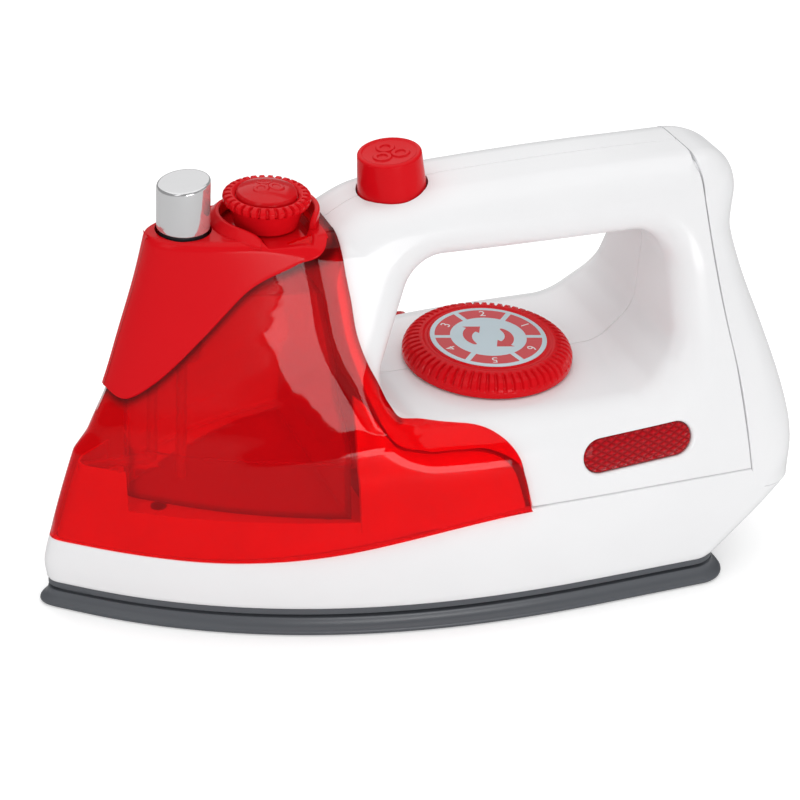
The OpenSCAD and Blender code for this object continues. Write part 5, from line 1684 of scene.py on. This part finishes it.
@dataclass
class TopCover(Assembly):
    """Gloss red cover with the S-shaped lower edge, the notch and the collar round the knob."""

    clear: float = 0.4
    proud: float = 1.55
    plate: float = 3.1
    back: float = 2.7
    low: ClassVar[tuple] = (
        (0, 0.562), (0.059, 0.551), (0.129, 0.59), (0.304, 0.708), (0.499, 0.819), (0.76, 0.873), (0.86, 0.886),
        (0.95, 0.904), (1, 0.925),
    )
    notch: Pair = (-51.5, -35.4)
    notch_z: float = 113.7
    knob_x: float = -45.2991
    cap_x: float = -69.006
    pocket_r: float = 13.0
    foot_z: float = 114.0
    collar_z: float = 119.4
    collar_t: float = 1.6
    rim_z: float = 117.9
    rim_reach: float = 66.0
    hub_r: float = 3.05
    cap_hole: tuple = ((0, 100), (7.65, 100), (7.65, 114.9), (7.85, 116), (0, 116))
    sleeve: tuple = ((7.65, 106.4), (8.65, 106.4), (8.65, 113), (7.65, 113))

    def grid(self, outer: bool) -> Array:
        """Stations from the nose to the rear edge, each from the near lower edge over the top to the far one.

        Args:
            outer: whether the outer surface is meant.

        Returns:
            The points.
        """
        form = self.form
        s = ((np.arange(181) / 180) ** 1.35)[:, None]
        low = form.crown_z * smooth(self.low, s)
        roof = form.cover_z if outer else np.maximum(form.cover_z - self.plate, np.minimum(low, form.cover_z - 0.9))
        share = np.concatenate([[0, 0.004, 0.01, 0.018], np.linspace(0.03, 1, 38)])[None, :]
        z = mix(low, roof, 1 - (1 - share) ** 2)
        x = mix(form.high_tip(z), form.edge_x(z) - self.back * ease((z - 104) / 10), s)
        y = form.upper_half(x, z)
        out = self.proud - turned_in(z - low, 0.7) if outer else np.full_like(z, self.clear)
        wall = np.stack([x - out * (1 - s), y + out * np.sqrt(s), z], -1)
        across = (np.arange(23, -1, -1) / 24)[None, :, None]
        top = wall[:, -1:] * np.concatenate([np.ones_like(across), across, np.ones_like(across)], -1)
        far = np.concatenate([wall, top], 1)
        if outer:
            far[..., 2] = self.notched(far[..., 0], far[..., 2])
        return np.concatenate([mirrored(far), far[:, -2::-1]], 1)

    def notched(self, x: Array, z: Array) -> Array:
        """Height limited by the notch: a soft minimum of z and the notch's floor and sloping ends.

        Args:
            x: places from tip to rear.
            z: heights.

        Returns:
            The limited heights.
        """
        a, b = self.notch
        limit = self.notch_z + np.maximum(0, np.maximum(a + 2 - x, x - b + 2)) * 1.2
        soft = 0.35
        gap = np.clip(0.5 + 0.5 * (limit - z) / soft, 0, 1)
        return mix(limit, z, gap) - soft * gap * (1 - gap)

    def build(self) -> None:
        """Builds the cover, its collar and the sleeve under the cap."""
        outer, inner = self.grid(True), self.grid(False)
        n, m = outer.shape[:2]
        top = grid_faces(n, m)
        i = np.arange(n - 1)
        sides = [np.stack([i * m, (i + 1) * m, (i + 1) * m + n * m, i * m + n * m], -1) + c for c in (0, m - 1)]
        j = np.arange(m - 1) + (n - 1) * m
        rear = np.stack([j, j + 1, j + 1 + n * m, j + n * m], -1)
        points = np.concatenate([outer.reshape(-1, 3), inner.reshape(-1, 3)])
        cover = make_object("cover", points, np.concatenate([top, top[:, ::-1] + n * m, *sides, rear]))
        knob, cap, r, z = (self.knob_x, 0, 0), (self.cap_x, 0, 0), self.pocket_r, self.notch_z
        cuts = [cylinder("pocket", r, z, 130, knob, 128), cylinder("hub", self.hub_r, 100, 120, knob, 48)]
        cuts.append(turned("cap_hole", self.cap_hole, cap, 96))
        carve(cover, cuts, 30.0)
        parts = [cover, self.collar(), self.rim(), turned("sleeve", self.sleeve, cap, 64)]
        self.enter(join("top_cover_look", parts, 30.0), "red_gloss", Body.CASING, "cover_red", "top_cover")

    def swept(self, name: str, path: Sequence[Pair], middle: float, reach: float, fade: tuple) -> Obj:
        """Section swept round the knob's axis, lower towards its ends by a power of the angle's share.

        Args:
            name: the part's name.
            path: the section's points (r, z).
            middle: angle of the sweep's middle.
            reach: angle from the middle to each end.
            fade: the height's share left at the ends, and the power.

        Returns:
            The object.
        """
        a = np.linspace(-reach, reach, 73)
        left, power = fade
        section, end = np.array(path)[None], (1 - (np.abs(a) / reach) ** power)[:, None]
        z = self.foot_z + (section[..., 1] - self.foot_z) * mix(left, 1.0, end)
        x, y = (turn(middle + a)[:, None] * section[..., 0] for turn in (np.cos, np.sin))
        return tube(name, np.stack([self.knob_x + x, y, z], -1))

    def rim(self) -> Obj:
        """Low rounded rim before the knob, its flank sloping down to the deck.

        Returns:
            The object.
        """
        low, high, r = self.foot_z, self.rim_z, self.pocket_r
        corners = [(r, low), (r, high), (r + 0.9, high), (r + 3.3, high - 2.5), (r + 3.3, low)]
        path = rounded(corners, [0, 0.5, 0.8, 0.6, 0], 6)
        return self.swept("rim", path, math.pi, math.radians(self.rim_reach), (0.35, 6))

    def collar(self) -> Obj:
        """Crescent wall behind the knob, which fades out at its ends.

        Returns:
            The object.
        """
        low, high, r = self.foot_z, self.collar_z, self.pocket_r
        reach = math.acos((self.notch[1] - self.knob_x) / (r + self.collar_t / 2))
        path = rounded([(r, low), (r, high), (r + self.collar_t, high), (r + self.collar_t, low)], [0, 0.6, 0.6, 0], 6)
        return self.swept("collar", path, 0.0, reach, (0.55, 10))


def ribbed_turn(
    name: str,
    profile: Array,
    centre: Sequence[float],
    ribs: int,
    depth: float,
    mask: Array,
    steps: int = 12,
    fill: float = 0.55,
    angle: float = 40.0,
) -> Obj:
    """Turned solid whose radius dips between ribs: r less depth times mask times a soft square wave of the angle.

    Args:
        name: the piece's name.
        profile: points (r, z), from the axis round to the axis.
        centre: the axis's place.
        ribs: number of ribs.
        depth: depth between them.
        mask: share of the dip at each profile point, and of a drop in z where the profile is flat.
        steps: parts of each rib.
        fill: share of the pitch that a rib takes.
        angle: edges sharper than this stay sharp.

    Returns:
        The object.
    """
    n = ribs * steps
    t = circle(n)
    phase = (np.arange(n) % steps) / steps
    dip = ease((np.abs(phase - 0.5) - fill / 2) / 0.12)
    r = profile[None, :, 0] - depth * mask[None, :, 0] * dip[:, None]
    z = profile[None, :, 1] - depth * mask[None, :, 1] * dip[:, None]
    grid = np.stack([np.cos(t)[:, None] * r, np.sin(t)[:, None] * r, z], -1)
    return make_object(name, grid + np.asarray(centre, float), grid_faces(n, len(profile), True), angle)


def petals(x: Array, y: Array, size: float, count: int = 3) -> Array:
    """Height from 0 to 1 of a raised sign: loops of drop shape round a centre, each an annulus of its distance field.

    Args:
        x: places on the face.
        y: places on the face.
        size: radius of the whole sign.
        count: number of loops.

    Returns:
        The heights.
    """
    best = np.zeros_like(x)
    for k in range(count):
        a = math.pi / 2 + k * math.tau / count
        px, py = x - 0.42 * size * math.cos(a), y - 0.42 * size * math.sin(a)
        d = np.hypot(px, py)
        ring = 1 - ease((np.abs(d - 0.27 * size) - 0.06 * size) / (0.05 * size))
        best = np.maximum(best, ring)
    return best


@dataclass
class Knob(Assembly):
    """Ribbed steam knob with its domed disc."""

    x: float = -45.2991
    top_z: float = 123.2
    ring_r: float = 12.3
    disc_r: float = 8.4
    disc_edge: float = 0.5
    dome: float = 1.75
    sign: Pair = (0.25, 6.0)
    ribs: int = 30
    rib_depth: float = 0.9
    around: int = 180

    def build(self) -> None:
        """Builds the knob and the disc."""
        r, z = self.ring_r, self.top_z
        corners = [
            (0, 112.0), (3.0, 112.0), (3.0, 114.0), (8.9, 114.0), (10.4, z - 2.9), (r - 0.4, z - 2.7), (r, z - 0.8),
            (r - 1.2, z), (9.6, z), (8.8, z - 0.5), (8.5, z - 1.0), (0, z - 1.0),
        ]
        path = np.array(rounded(corners, [0, 0, 0, 0.6, 0.5, 0.7, 1.4, 1.0, 0.6, 0.3, 0, 0], 6))
        outer = ease((path[:, 0] - (r - 2.6)) / 1.2) * (path[:, 1] > z - 2.85)
        flat = outer * ease((path[:, 1] - z + 1.0) / 0.8)
        mask = np.stack([outer * (1 - 0.5 * flat), flat * 0.9], -1)
        knob = ribbed_turn("knob_look", path, (self.x, 0, 0), self.ribs, self.rib_depth, mask)
        self.enter(knob, "red_gloss", Body.KNOB, "disc_red", "knob")
        rings = np.concatenate([np.linspace(0, 1, 57), [1.0]])[:, None]
        px, py = spun(rings * self.disc_r, self.around)
        edge, dome = self.disc_edge * ease((1 - rings) / 0.05), (1 - rings**2) * self.dome
        height = (edge + dome)[None, :, 0] + self.sign[0] * petals(px, py, self.sign[1])
        height[:, -1] = -0.9
        points = np.stack([px + self.x, py, z - 0.02 + height], -1)
        disc = make_object("knob_disc_look", points, grid_faces(*height.shape, True), 40.0)
        self.enter(disc, "red_disc", Body.KNOB, "disc_red", "knob_disc")


@dataclass
class SprayCap(Assembly):
    """Chrome spray cap with a slanted top, on its dark stem."""

    x: float = -69.006
    r: float = 7.3
    rim_z: float = 116.1
    top_z: float = 129.6
    slant: float = 8.0
    bore: Pair = (6.55, 124.2)
    dish: float = 0.35
    around: int = 160

    def build(self) -> None:
        """Builds the cap: a turned cup whose upper points are lifted by the slant."""
        top, r = self.top_z, self.r
        bore, roof = self.bore
        corners = [(bore, roof), (bore, self.rim_z), (r, self.rim_z), (r, top), (0, top)]
        path = np.array([(0, roof), *rounded(corners, [0, 0.3, 0.3, 1.0, 0], 8)])
        path = np.concatenate([path[:-1], np.stack([np.linspace(path[-2, 0], 0, 8)[1:], np.full(7, top)], -1)])
        x, y = spun(path, self.around)
        upper = (path[:, 1] > roof + 0.1) * ease((path[:, 1] - 121) / 4)
        lift = upper[None, :] * x * math.tan(math.radians(self.slant))
        dish = self.dish * (1 - ease(path[:, 0] / (r - 1.6)))[None, :] * (path[None, :, 1] > top - 0.6)
        points = np.stack([x + self.x, y, path[None, :, 1] + lift - dish], -1)
        cap = make_object("spray_cap_look", points, grid_faces(self.around, len(path), True), 40.0)
        self.enter(cap, "chrome", Body.PUMP, "cap_chrome", "spray_cap")


@dataclass
class HandleButton(Assembly):
    """Red button on the handle with a raised sign on its top."""

    x: float = -9.9057
    top_z: float = 131.3
    r: float = 9.0
    height: float = 14.0
    taper: float = 0.9
    lean: float = 7.4
    sign: Pair = (0.4, 7.4)
    around: int = 180

    def build(self) -> None:
        """Builds the button in its own frame, then leans it."""
        h, foot = self.height, self.r + self.taper
        corners = [
            (0, -h - 1.2), (foot + 1, -h - 1.2), (foot + 1, -h), (foot, -h), (self.r, -0.3), (self.r - 1.0, -0.05),
            (self.r - 1.6, -0.35),
        ]
        shell = rounded(corners, [0, 0.3, 0.3, 0, 1.2, 0.5, 0.5], 7)
        inner = [(radius, -0.35 - 0.25 * (1 - (radius / 7.4) ** 2)) for radius in np.linspace(7.0, 0, 60)]
        path = np.array([*shell, *inner])
        x, y = spun(path, self.around)
        face = (path[:, 1] > -2) * (path[:, 0] < 6.8)
        z = path[None, :, 1] + self.sign[0] * petals(x, y, self.sign[1]) * face[None, :]
        points = np.stack([x, y, z], -1)
        button = make_object("handle_button_look", points, grid_faces(self.around, len(path), True), 40.0)
        place = Matrix.Translation((self.x * MM, 0, self.top_z * MM))
        moved(button, place @ Matrix.Rotation(math.radians(-self.lean), 4, "Y"))
        self.enter(button, "red_gloss", Body.BUTTON, "cover_red", "handle_button")


@dataclass
class Dial(Assembly):
    """Ribbed heat dial with its printed label."""

    x: float = 25.599
    r: float = 25.5
    base_z: float = 60.35
    top_z: float = 66.6
    ribs: int = 60
    rib_depth: float = 0.85
    label_r: float = 17.4
    label_t: float = 0.22
    sectors: int = 6
    sector_ends: Pair = (11.4, 16.0)
    sector_gap: float = 0.8
    first_angle: float = 14.0
    arrow_angles: Pair = (32.0, 212.0)
    arrow_r: float = 6.2
    arrow_sweep: float = -88.0
    arrow_tip: float = -34.0
    arrow_half: Triple = (0.15, 1.7, 3.0)
    print_t: float = 0.02
    print_sunk: float = 0.005
    number_size: float = 4.2
    number_t: float = 0.012

    def build(self) -> None:
        """Builds the dial, the label and what is printed on it."""
        z0, z1, r = self.base_z, self.top_z, self.r
        corners = [
            (0, 57.5), (6.0, 57.5), (6.0, z0), (r - 0.4, z0), (r, z0 + 0.4), (r, z0 + 2.6), (r - 1.4, z1 - 1.2),
            (r - 4.0, z1 - 0.25), (19.6, z1 - 0.1), (19.0, z1 - 0.35), (18.2, z1 - 0.35), (17.9, z1), (0, z1),
        ]
        path = np.array(rounded(corners, [0, 0, 0.3, 0.3, 0.3, 1.6, 2.2, 1.5, 0.4, 0.3, 0.2, 0.2, 0], 7))
        side, z = path[:, 0] - 20.4, path[:, 1] - z0
        shoulder = (z > 2.0) * ease(side) * ease((z - 2.0) / 0.9)
        slope = ease((z - 2.4) / 2.4)
        mask = np.stack([shoulder * (1 - 0.6 * slope), shoulder * slope * 0.8], -1)
        dial = ribbed_turn("dial_look", path, (self.x, 0, 0), self.ribs, self.rib_depth, mask)
        self.enter(dial, "red_gloss", Body.DIAL, "cover_red", "dial")
        low, high, reach = z1 + 0.02, z1 + 0.02 + self.label_t, self.label_r
        film = rounded([(0, low), (reach, low), (reach, high), (0, high)], [0, 0, 0.08, 0], 3)
        label = turned("dial_label_look", film, (self.x, 0, 0), 144)
        self.enter(label, "label_film", Body.DIAL, "label_blue", "dial_label")
        self.prints(high)

    def patch(self, name: str, outline: Array, z: float) -> Obj:
        """Thin red print, sunk a little into the label's face at height z.

        Args:
            name: the piece's name.
            outline: closed outline about the dial's axis.
            z: height of the label's face.

        Returns:
            The object.
        """
        low = z - self.print_sunk
        obj = prism(name, outline + np.array([self.x, 0.0]), low, low + self.print_t, 20.0)
        return self.enter(obj, "label_red", Body.DIAL, "label_blue")

    def arc(self, radius: Array | float, angles: Array) -> Array:
        """Points at those distances and angles from the dial's axis."""
        return np.stack([radius * np.cos(angles), radius * np.sin(angles)], -1)

    def prints(self, z: float) -> None:
        """Red sectors with white numbers, and two bent arrows.

        Args:
            z: height of the label's face.
        """
        pitch, (low_r, high_r) = math.tau / self.sectors, self.sector_ends
        for k in range(self.sectors):
            middle = k * pitch + math.radians(self.first_angle)
            outer, inner = (pitch / 2 - self.sector_gap / radius for radius in (high_r, low_r))
            a, b = np.linspace(-outer, outer, 41) + middle, np.linspace(inner, -inner, 33) + middle
            outline = np.concatenate([self.arc(high_r, a), self.arc(low_r, b)])
            self.patch(f"label_sector_{k + 1}", outline, z)
            self.number(str(k + 1), middle, (low_r + high_r) / 2, z + self.number_t)
        for k, start in enumerate(self.arrow_angles):
            self.patch(f"label_arrow_{k + 1}", self.arrow(math.radians(start)), z)

    def arrow(self, start: float) -> Array:
        """Outline of a crescent arrow bent clockwise along a circle, thin at its tail.

        Args:
            start: angle of the tail.

        Returns:
            Points of (x, y) about the dial's axis.
        """
        r, (tail, neck, head) = self.arrow_r, self.arrow_half
        end = start + math.radians(self.arrow_sweep)
        a = np.linspace(start, end, 40)
        half = mix(tail, neck, np.sqrt(np.linspace(0, 1, 40)))
        tip = self.arc(np.array([r + head, r, r - head]), np.array([end, end + math.radians(self.arrow_tip), end]))
        return np.concatenate([self.arc(r + half, a), tip, self.arc(r - half, a)[::-1]])

    def number(self, text: str, angle: float, radius: float, z: float) -> None:
        """A white number, its foot towards the middle of the dial.

        Args:
            text: what it says.
            angle: where it stands round the dial.
            radius: its distance from the axis.
            z: height of its foot.
        """
        curve = bpy.data.curves.new("number", "FONT")
        curve.body = text
        curve.size = self.number_size * MM
        curve.extrude = self.number_t * MM
        curve.align_x = curve.align_y = "CENTER"
        curve.resolution_u = 6
        made = bpy.data.objects.new("number", curve)
        bpy.context.scene.collection.objects.link(made)
        bpy.context.view_layer.update()
        mesh = bpy.data.meshes.new_from_object(made.evaluated_get(bpy.context.evaluated_depsgraph_get()))
        bpy.data.objects.remove(made)
        obj = bpy.data.objects.new(f"label_number_{text}", mesh)
        bpy.context.scene.collection.objects.link(obj)
        x, y = self.x + radius * math.cos(angle), radius * math.sin(angle)
        place = Matrix.Translation((x * MM, y * MM, z * MM))
        moved(obj, place @ Matrix.Rotation(angle - math.pi / 2, 4, "Z"))
        self.enter(obj, "label_white", Body.DIAL, "label_blue")


@dataclass
class Screws(Assembly):
    """Pan-head screws with cross recesses."""

    head: Pair = (2.7, 1.6)
    sole_shank: Pair = (1.25, 11.6)
    case_shank: Pair = (1.27, 15.5)
    door_head: Pair = (2.7, 0.9)
    door_shank: Pair = (1.3, 6.9)
    cross: Triple = (0.62, 0.12, 0.55)
    sole_z: float = 0.3
    door_z: float = 0.4
    case_y: float = 7.6

    def screw(self, name: str, place: Matrix, head: Pair, shank: Pair) -> Obj:
        """A screw whose head faces minus z.

        Args:
            name: the piece's name.
            place: where the head's face goes, in metres.
            head: radius and height of the head.
            shank: radius of the shank and the screw's length.

        Returns:
            The object.
        """
        (hr, hh), (sr, length) = head, shank
        corners = [(0, 0.0), (hr, 0.1), (hr, hh), (sr, hh), (sr, length - sr), (0, length)]
        body = turned(name, rounded(corners, [0, 0.5, 0.05, 0.1, 0.2, 0], 5), (0, 0, 0), 48)
        arm, half, deep = (share * size for share, size in zip(self.cross, (hr, hr, hh)))
        boxes = rectangle(-arm, arm, -half, half), rectangle(-half, half, -arm, arm)
        return moved(carve(body, [prism("cross", box, -1, deep) for box in boxes]), place)

    def build(self) -> None:
        """Builds the sole's screws, the body's screws and the door's screw."""
        sole, shells, form = Sole(self.form, self.finishes), Shells(self.form, self.finishes), self.form
        places = [Matrix.Translation((x * MM, y * MM, self.sole_z * MM)) for x, y in sole.screws]
        made = [self.screw("screw", place, self.head, self.sole_shank) for place in places]
        self.enter(join("sole_screws_look", made), "steel", Body.CASING, "steel", "sole_screws")
        turn, y = Matrix.Rotation(math.radians(90), 4, "X"), self.case_y
        rows = [(sx * form.half_length, sz * form.crown_z) for sx, sz in shells.bosses]
        places = [Matrix.Translation((x * MM, y * MM, z * MM)) @ turn for x, z in rows]
        made = [self.screw("screw", place, self.head, self.case_shank) for place in places]
        self.enter(join("case_screws_look", made), "steel", Body.CASING, "steel", "case_screws")
        place = Matrix.Translation((sole.latch_x * MM, 0, self.door_z * MM))
        door = self.screw("door_screw_look", place, self.door_head, self.door_shank)
        self.enter(door, "steel", Body.DOOR, "steel", "door_screw")


@dataclass
class Springs(Assembly):
    """Round-wire coil springs of the spray pump and the handle button."""

    wire: float = 0.4
    turns: tuple[int, int] = (8, 6)
    presses: Pair = (7.0, 3.0)

    def coil(self, name: str, low: Array, high: Array, turns: int) -> Obj:
        """Helix that fills a node's box: centre + (R cos a, R sin a, rise of a) with a round wire about it.

        Args:
            name: the piece's name.
            low: lowest corner of the box, in millimetres.
            high: highest corner of the box.
            turns: number of turns.

        Returns:
            The object.
        """
        reach = (high[0] - low[0]) / 2 - self.wire
        share = np.linspace(0, 1, turns * 40 + 1)[:, None]
        a, b = math.tau * turns * share, (np.arange(12) / 12 * math.tau)[None, :]
        out = reach + self.wire * np.cos(b)
        rise = mix(low[2] + self.wire, high[2] - self.wire, share) + self.wire * np.sin(b)
        x, y = (low[:2] + high[:2]) / 2
        return tube(name, np.stack([x + out * np.cos(a), y + out * np.sin(a), rise], -1), 50.0)

    def build(self) -> None:
        """Builds both springs, each filling the box of its CAD node."""
        rows = zip(("pump_spring", "button_spring"), ("spray_press", "button_press"), self.turns, self.presses)
        for node, joint, turns, travel in rows:
            low, high = (np.array(corner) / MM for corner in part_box(node))
            coil = self.coil(node + "_look", low, high, turns)
            self.enter(coil, "steel", Body.CASING, "steel", node)
            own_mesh(coil)


class Inside:
    """CAD pieces that keep their own form and only get a finish."""

    kinds: ClassVar[dict[str, str]] = {
        "pump_piston": "dark_plastic",
        "pump_cylinder": "pale_clear",
        "suction_tube": "pale_clear",
        "outlet_tube": "pale_clear",
        "spray_nozzle": "pale_clear",
        "knob_screw": "steel",
        "button_switch": "dark_plastic",
        "dial_screw": "steel",
        "dial_click_spring": "steel",
        "lens_leds": "pale_clear",
        "circuit_board": "board",
        "speaker": "steel",
        "battery_case": "inner_white",
        "battery_cells": "cell_sleeve",
        "battery_contacts": "brass",
        "battery_door": "sole_grey",
    }

    def __init__(self, nodes: dict[str, Obj], finishes: Finishes) -> None:
        """Dresses the pieces.

        Args:
            nodes: names of the CAD pieces.
            finishes: the finishes.
        """
        for name, finish in self.kinds.items():
            finishes.dress(nodes[name], finish)
            log.info("%s: %s", name, finish)


@dataclass
class Studio:
    """Pale floor, soft lights and the camera of the photo."""

    target: Triple = (-0.0016, 0.0, 0.04946)
    azimuth: float = -23.91
    elevation: float = 31.12
    roll: float = 3.87
    distance: float = 0.6558
    lens: float = 99.6
    floor_half: float = 4000.0
    floor_z: float = -0.02
    floor_glow: float = 0.32
    floor_tones: Triple = (0.86, 0.5, 0.02)
    sky: Triple = (0.62, 0.13, 1.0)
    lamps: tuple = (
        ("front", (0.02, -0.8, 0.11), (0.4, 0.21), 1.4),
        ("key", (-0.75, -0.55, 0.75), (0.35, 0.9), 0.95),
        ("over", (0.05, 0.1, 1.2), (1.75, 1.35), 5.9),
        ("side", (0.95, -0.65, 0.55), (0.7, 0.9), 0.25),
        ("back", (0.1, 0.9, 0.7), (1.0, 0.6), 1.2),
    )

    def build(self) -> None:
        """Builds floor, world, lamps and camera."""
        self.floor()
        self.world()
        for name, place, size, power in self.lamps:
            self.lamp(name, place, size, power)
        self.camera()
        scene = bpy.context.scene
        scene.view_settings.view_transform = "Standard"

    def floor(self) -> None:
        """White floor that keeps the object's soft shadow."""
        size, (white, grey, spread) = self.floor_half, self.floor_tones
        corners = np.column_stack([rectangle(-size, size, -size, size), np.full(4, self.floor_z)])
        floor = make_object("floor", corners, np.array([[0, 1, 2, 3]]))
        kit = Kit.material("floor")
        cloud = kit.noise(3.0, 2.0)
        tone, dim = (kit.blend(cloud, (low,) * 3, (low + spread,) * 3) for low in (white, grey))
        glow = {"Emission_Color": (1.0, 1.0, 1.0, 1.0), "Emission_Strength": self.floor_glow}
        plain = kit.surface(Base_Color=tone, Roughness=0.9)
        lit = kit.surface(Base_Color=tone, Roughness=0.9, **glow)
        dull = kit.surface(Base_Color=dim, Roughness=0.9)
        seen = kit.either(kit.ray("Is Glossy Ray"), plain, dull)
        floor.data.materials.append(kit.done(kit.either(kit.ray("Is Camera Ray"), seen, lit)))

    def world(self) -> None:
        """White for the camera and through clear plastic, a paler or darker grey for the other rays."""
        world = bpy.data.worlds.new("world")
        bpy.context.scene.world = world
        kit = Kit(world)
        white = (1.0, 1.0, 1.0, 1.0)
        backs = [kit.node("ShaderNodeBackground", {}, {0: white, 1: level}).outputs[0] for level in self.sky]
        indirect = kit.either(kit.ray("Is Glossy Ray"), backs[0], backs[1])
        seen = kit.math("MAXIMUM", kit.ray("Is Camera Ray"), kit.ray("Is Transmission Ray"))
        kit.done(kit.either(seen, indirect, backs[2]))

    def lamp(self, name: str, place: Triple, size: Pair, power: float) -> None:
        """A soft rectangle of light that faces the object.

        Args:
            name: the lamp's name.
            place: where it stands, in metres.
            size: length of its side.
            power: its power in watts.
        """
        data = bpy.data.lights.new(name, "AREA")
        data.shape = "RECTANGLE"
        data.size, data.size_y = size
        data.energy = power
        obj = bpy.data.objects.new(name, data)
        bpy.context.scene.collection.objects.link(obj)
        way = np.array(place) - np.array(self.target)
        obj.location = place
        obj.rotation_mode = "QUATERNION"
        obj.rotation_quaternion = Vector(way).to_track_quat("Z", "Y")

    def camera(self) -> None:
        """The camera, turned by its roll about its own axis."""
        a, e, r = (math.radians(v) for v in (self.azimuth, self.elevation, self.roll))
        right = np.array([math.cos(a), math.sin(a), 0.0])
        back = np.array([math.sin(a) * math.cos(e), -math.cos(a) * math.cos(e), math.sin(e)])
        up = np.cross(back, right)
        axes = [math.cos(r) * right + math.sin(r) * up, -math.sin(r) * right + math.cos(r) * up, back]
        matrix = np.eye(4)
        matrix[:3, :3] = np.stack(axes, 1)
        matrix[:3, 3] = np.array(self.target) + self.distance * back
        data = bpy.data.cameras.new("camera")
        data.lens = self.lens
        data.sensor_width = 36.0
        obj = bpy.data.objects.new("camera", data)
        bpy.context.scene.collection.objects.link(obj)
        obj.matrix_world = Matrix(matrix.tolist())
        bpy.context.scene.camera = obj


def main() -> None:
    """Builds every sub-assembly round the frame."""
    logging.basicConfig(level=logging.INFO, format="%(message)s")
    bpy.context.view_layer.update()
    form, finishes = Form(), Finishes()
    covers = (Sole, Band, Shells, RearCover, Tank, TopCover)
    for kind in (*covers, SprayCap, Knob, HandleButton, Dial, Lenses, Screws, Springs):
        kind(form, finishes).build()
    Inside(frame["nodes"], finishes)
    Studio().build()


if __name__ == "__main__":
    main()
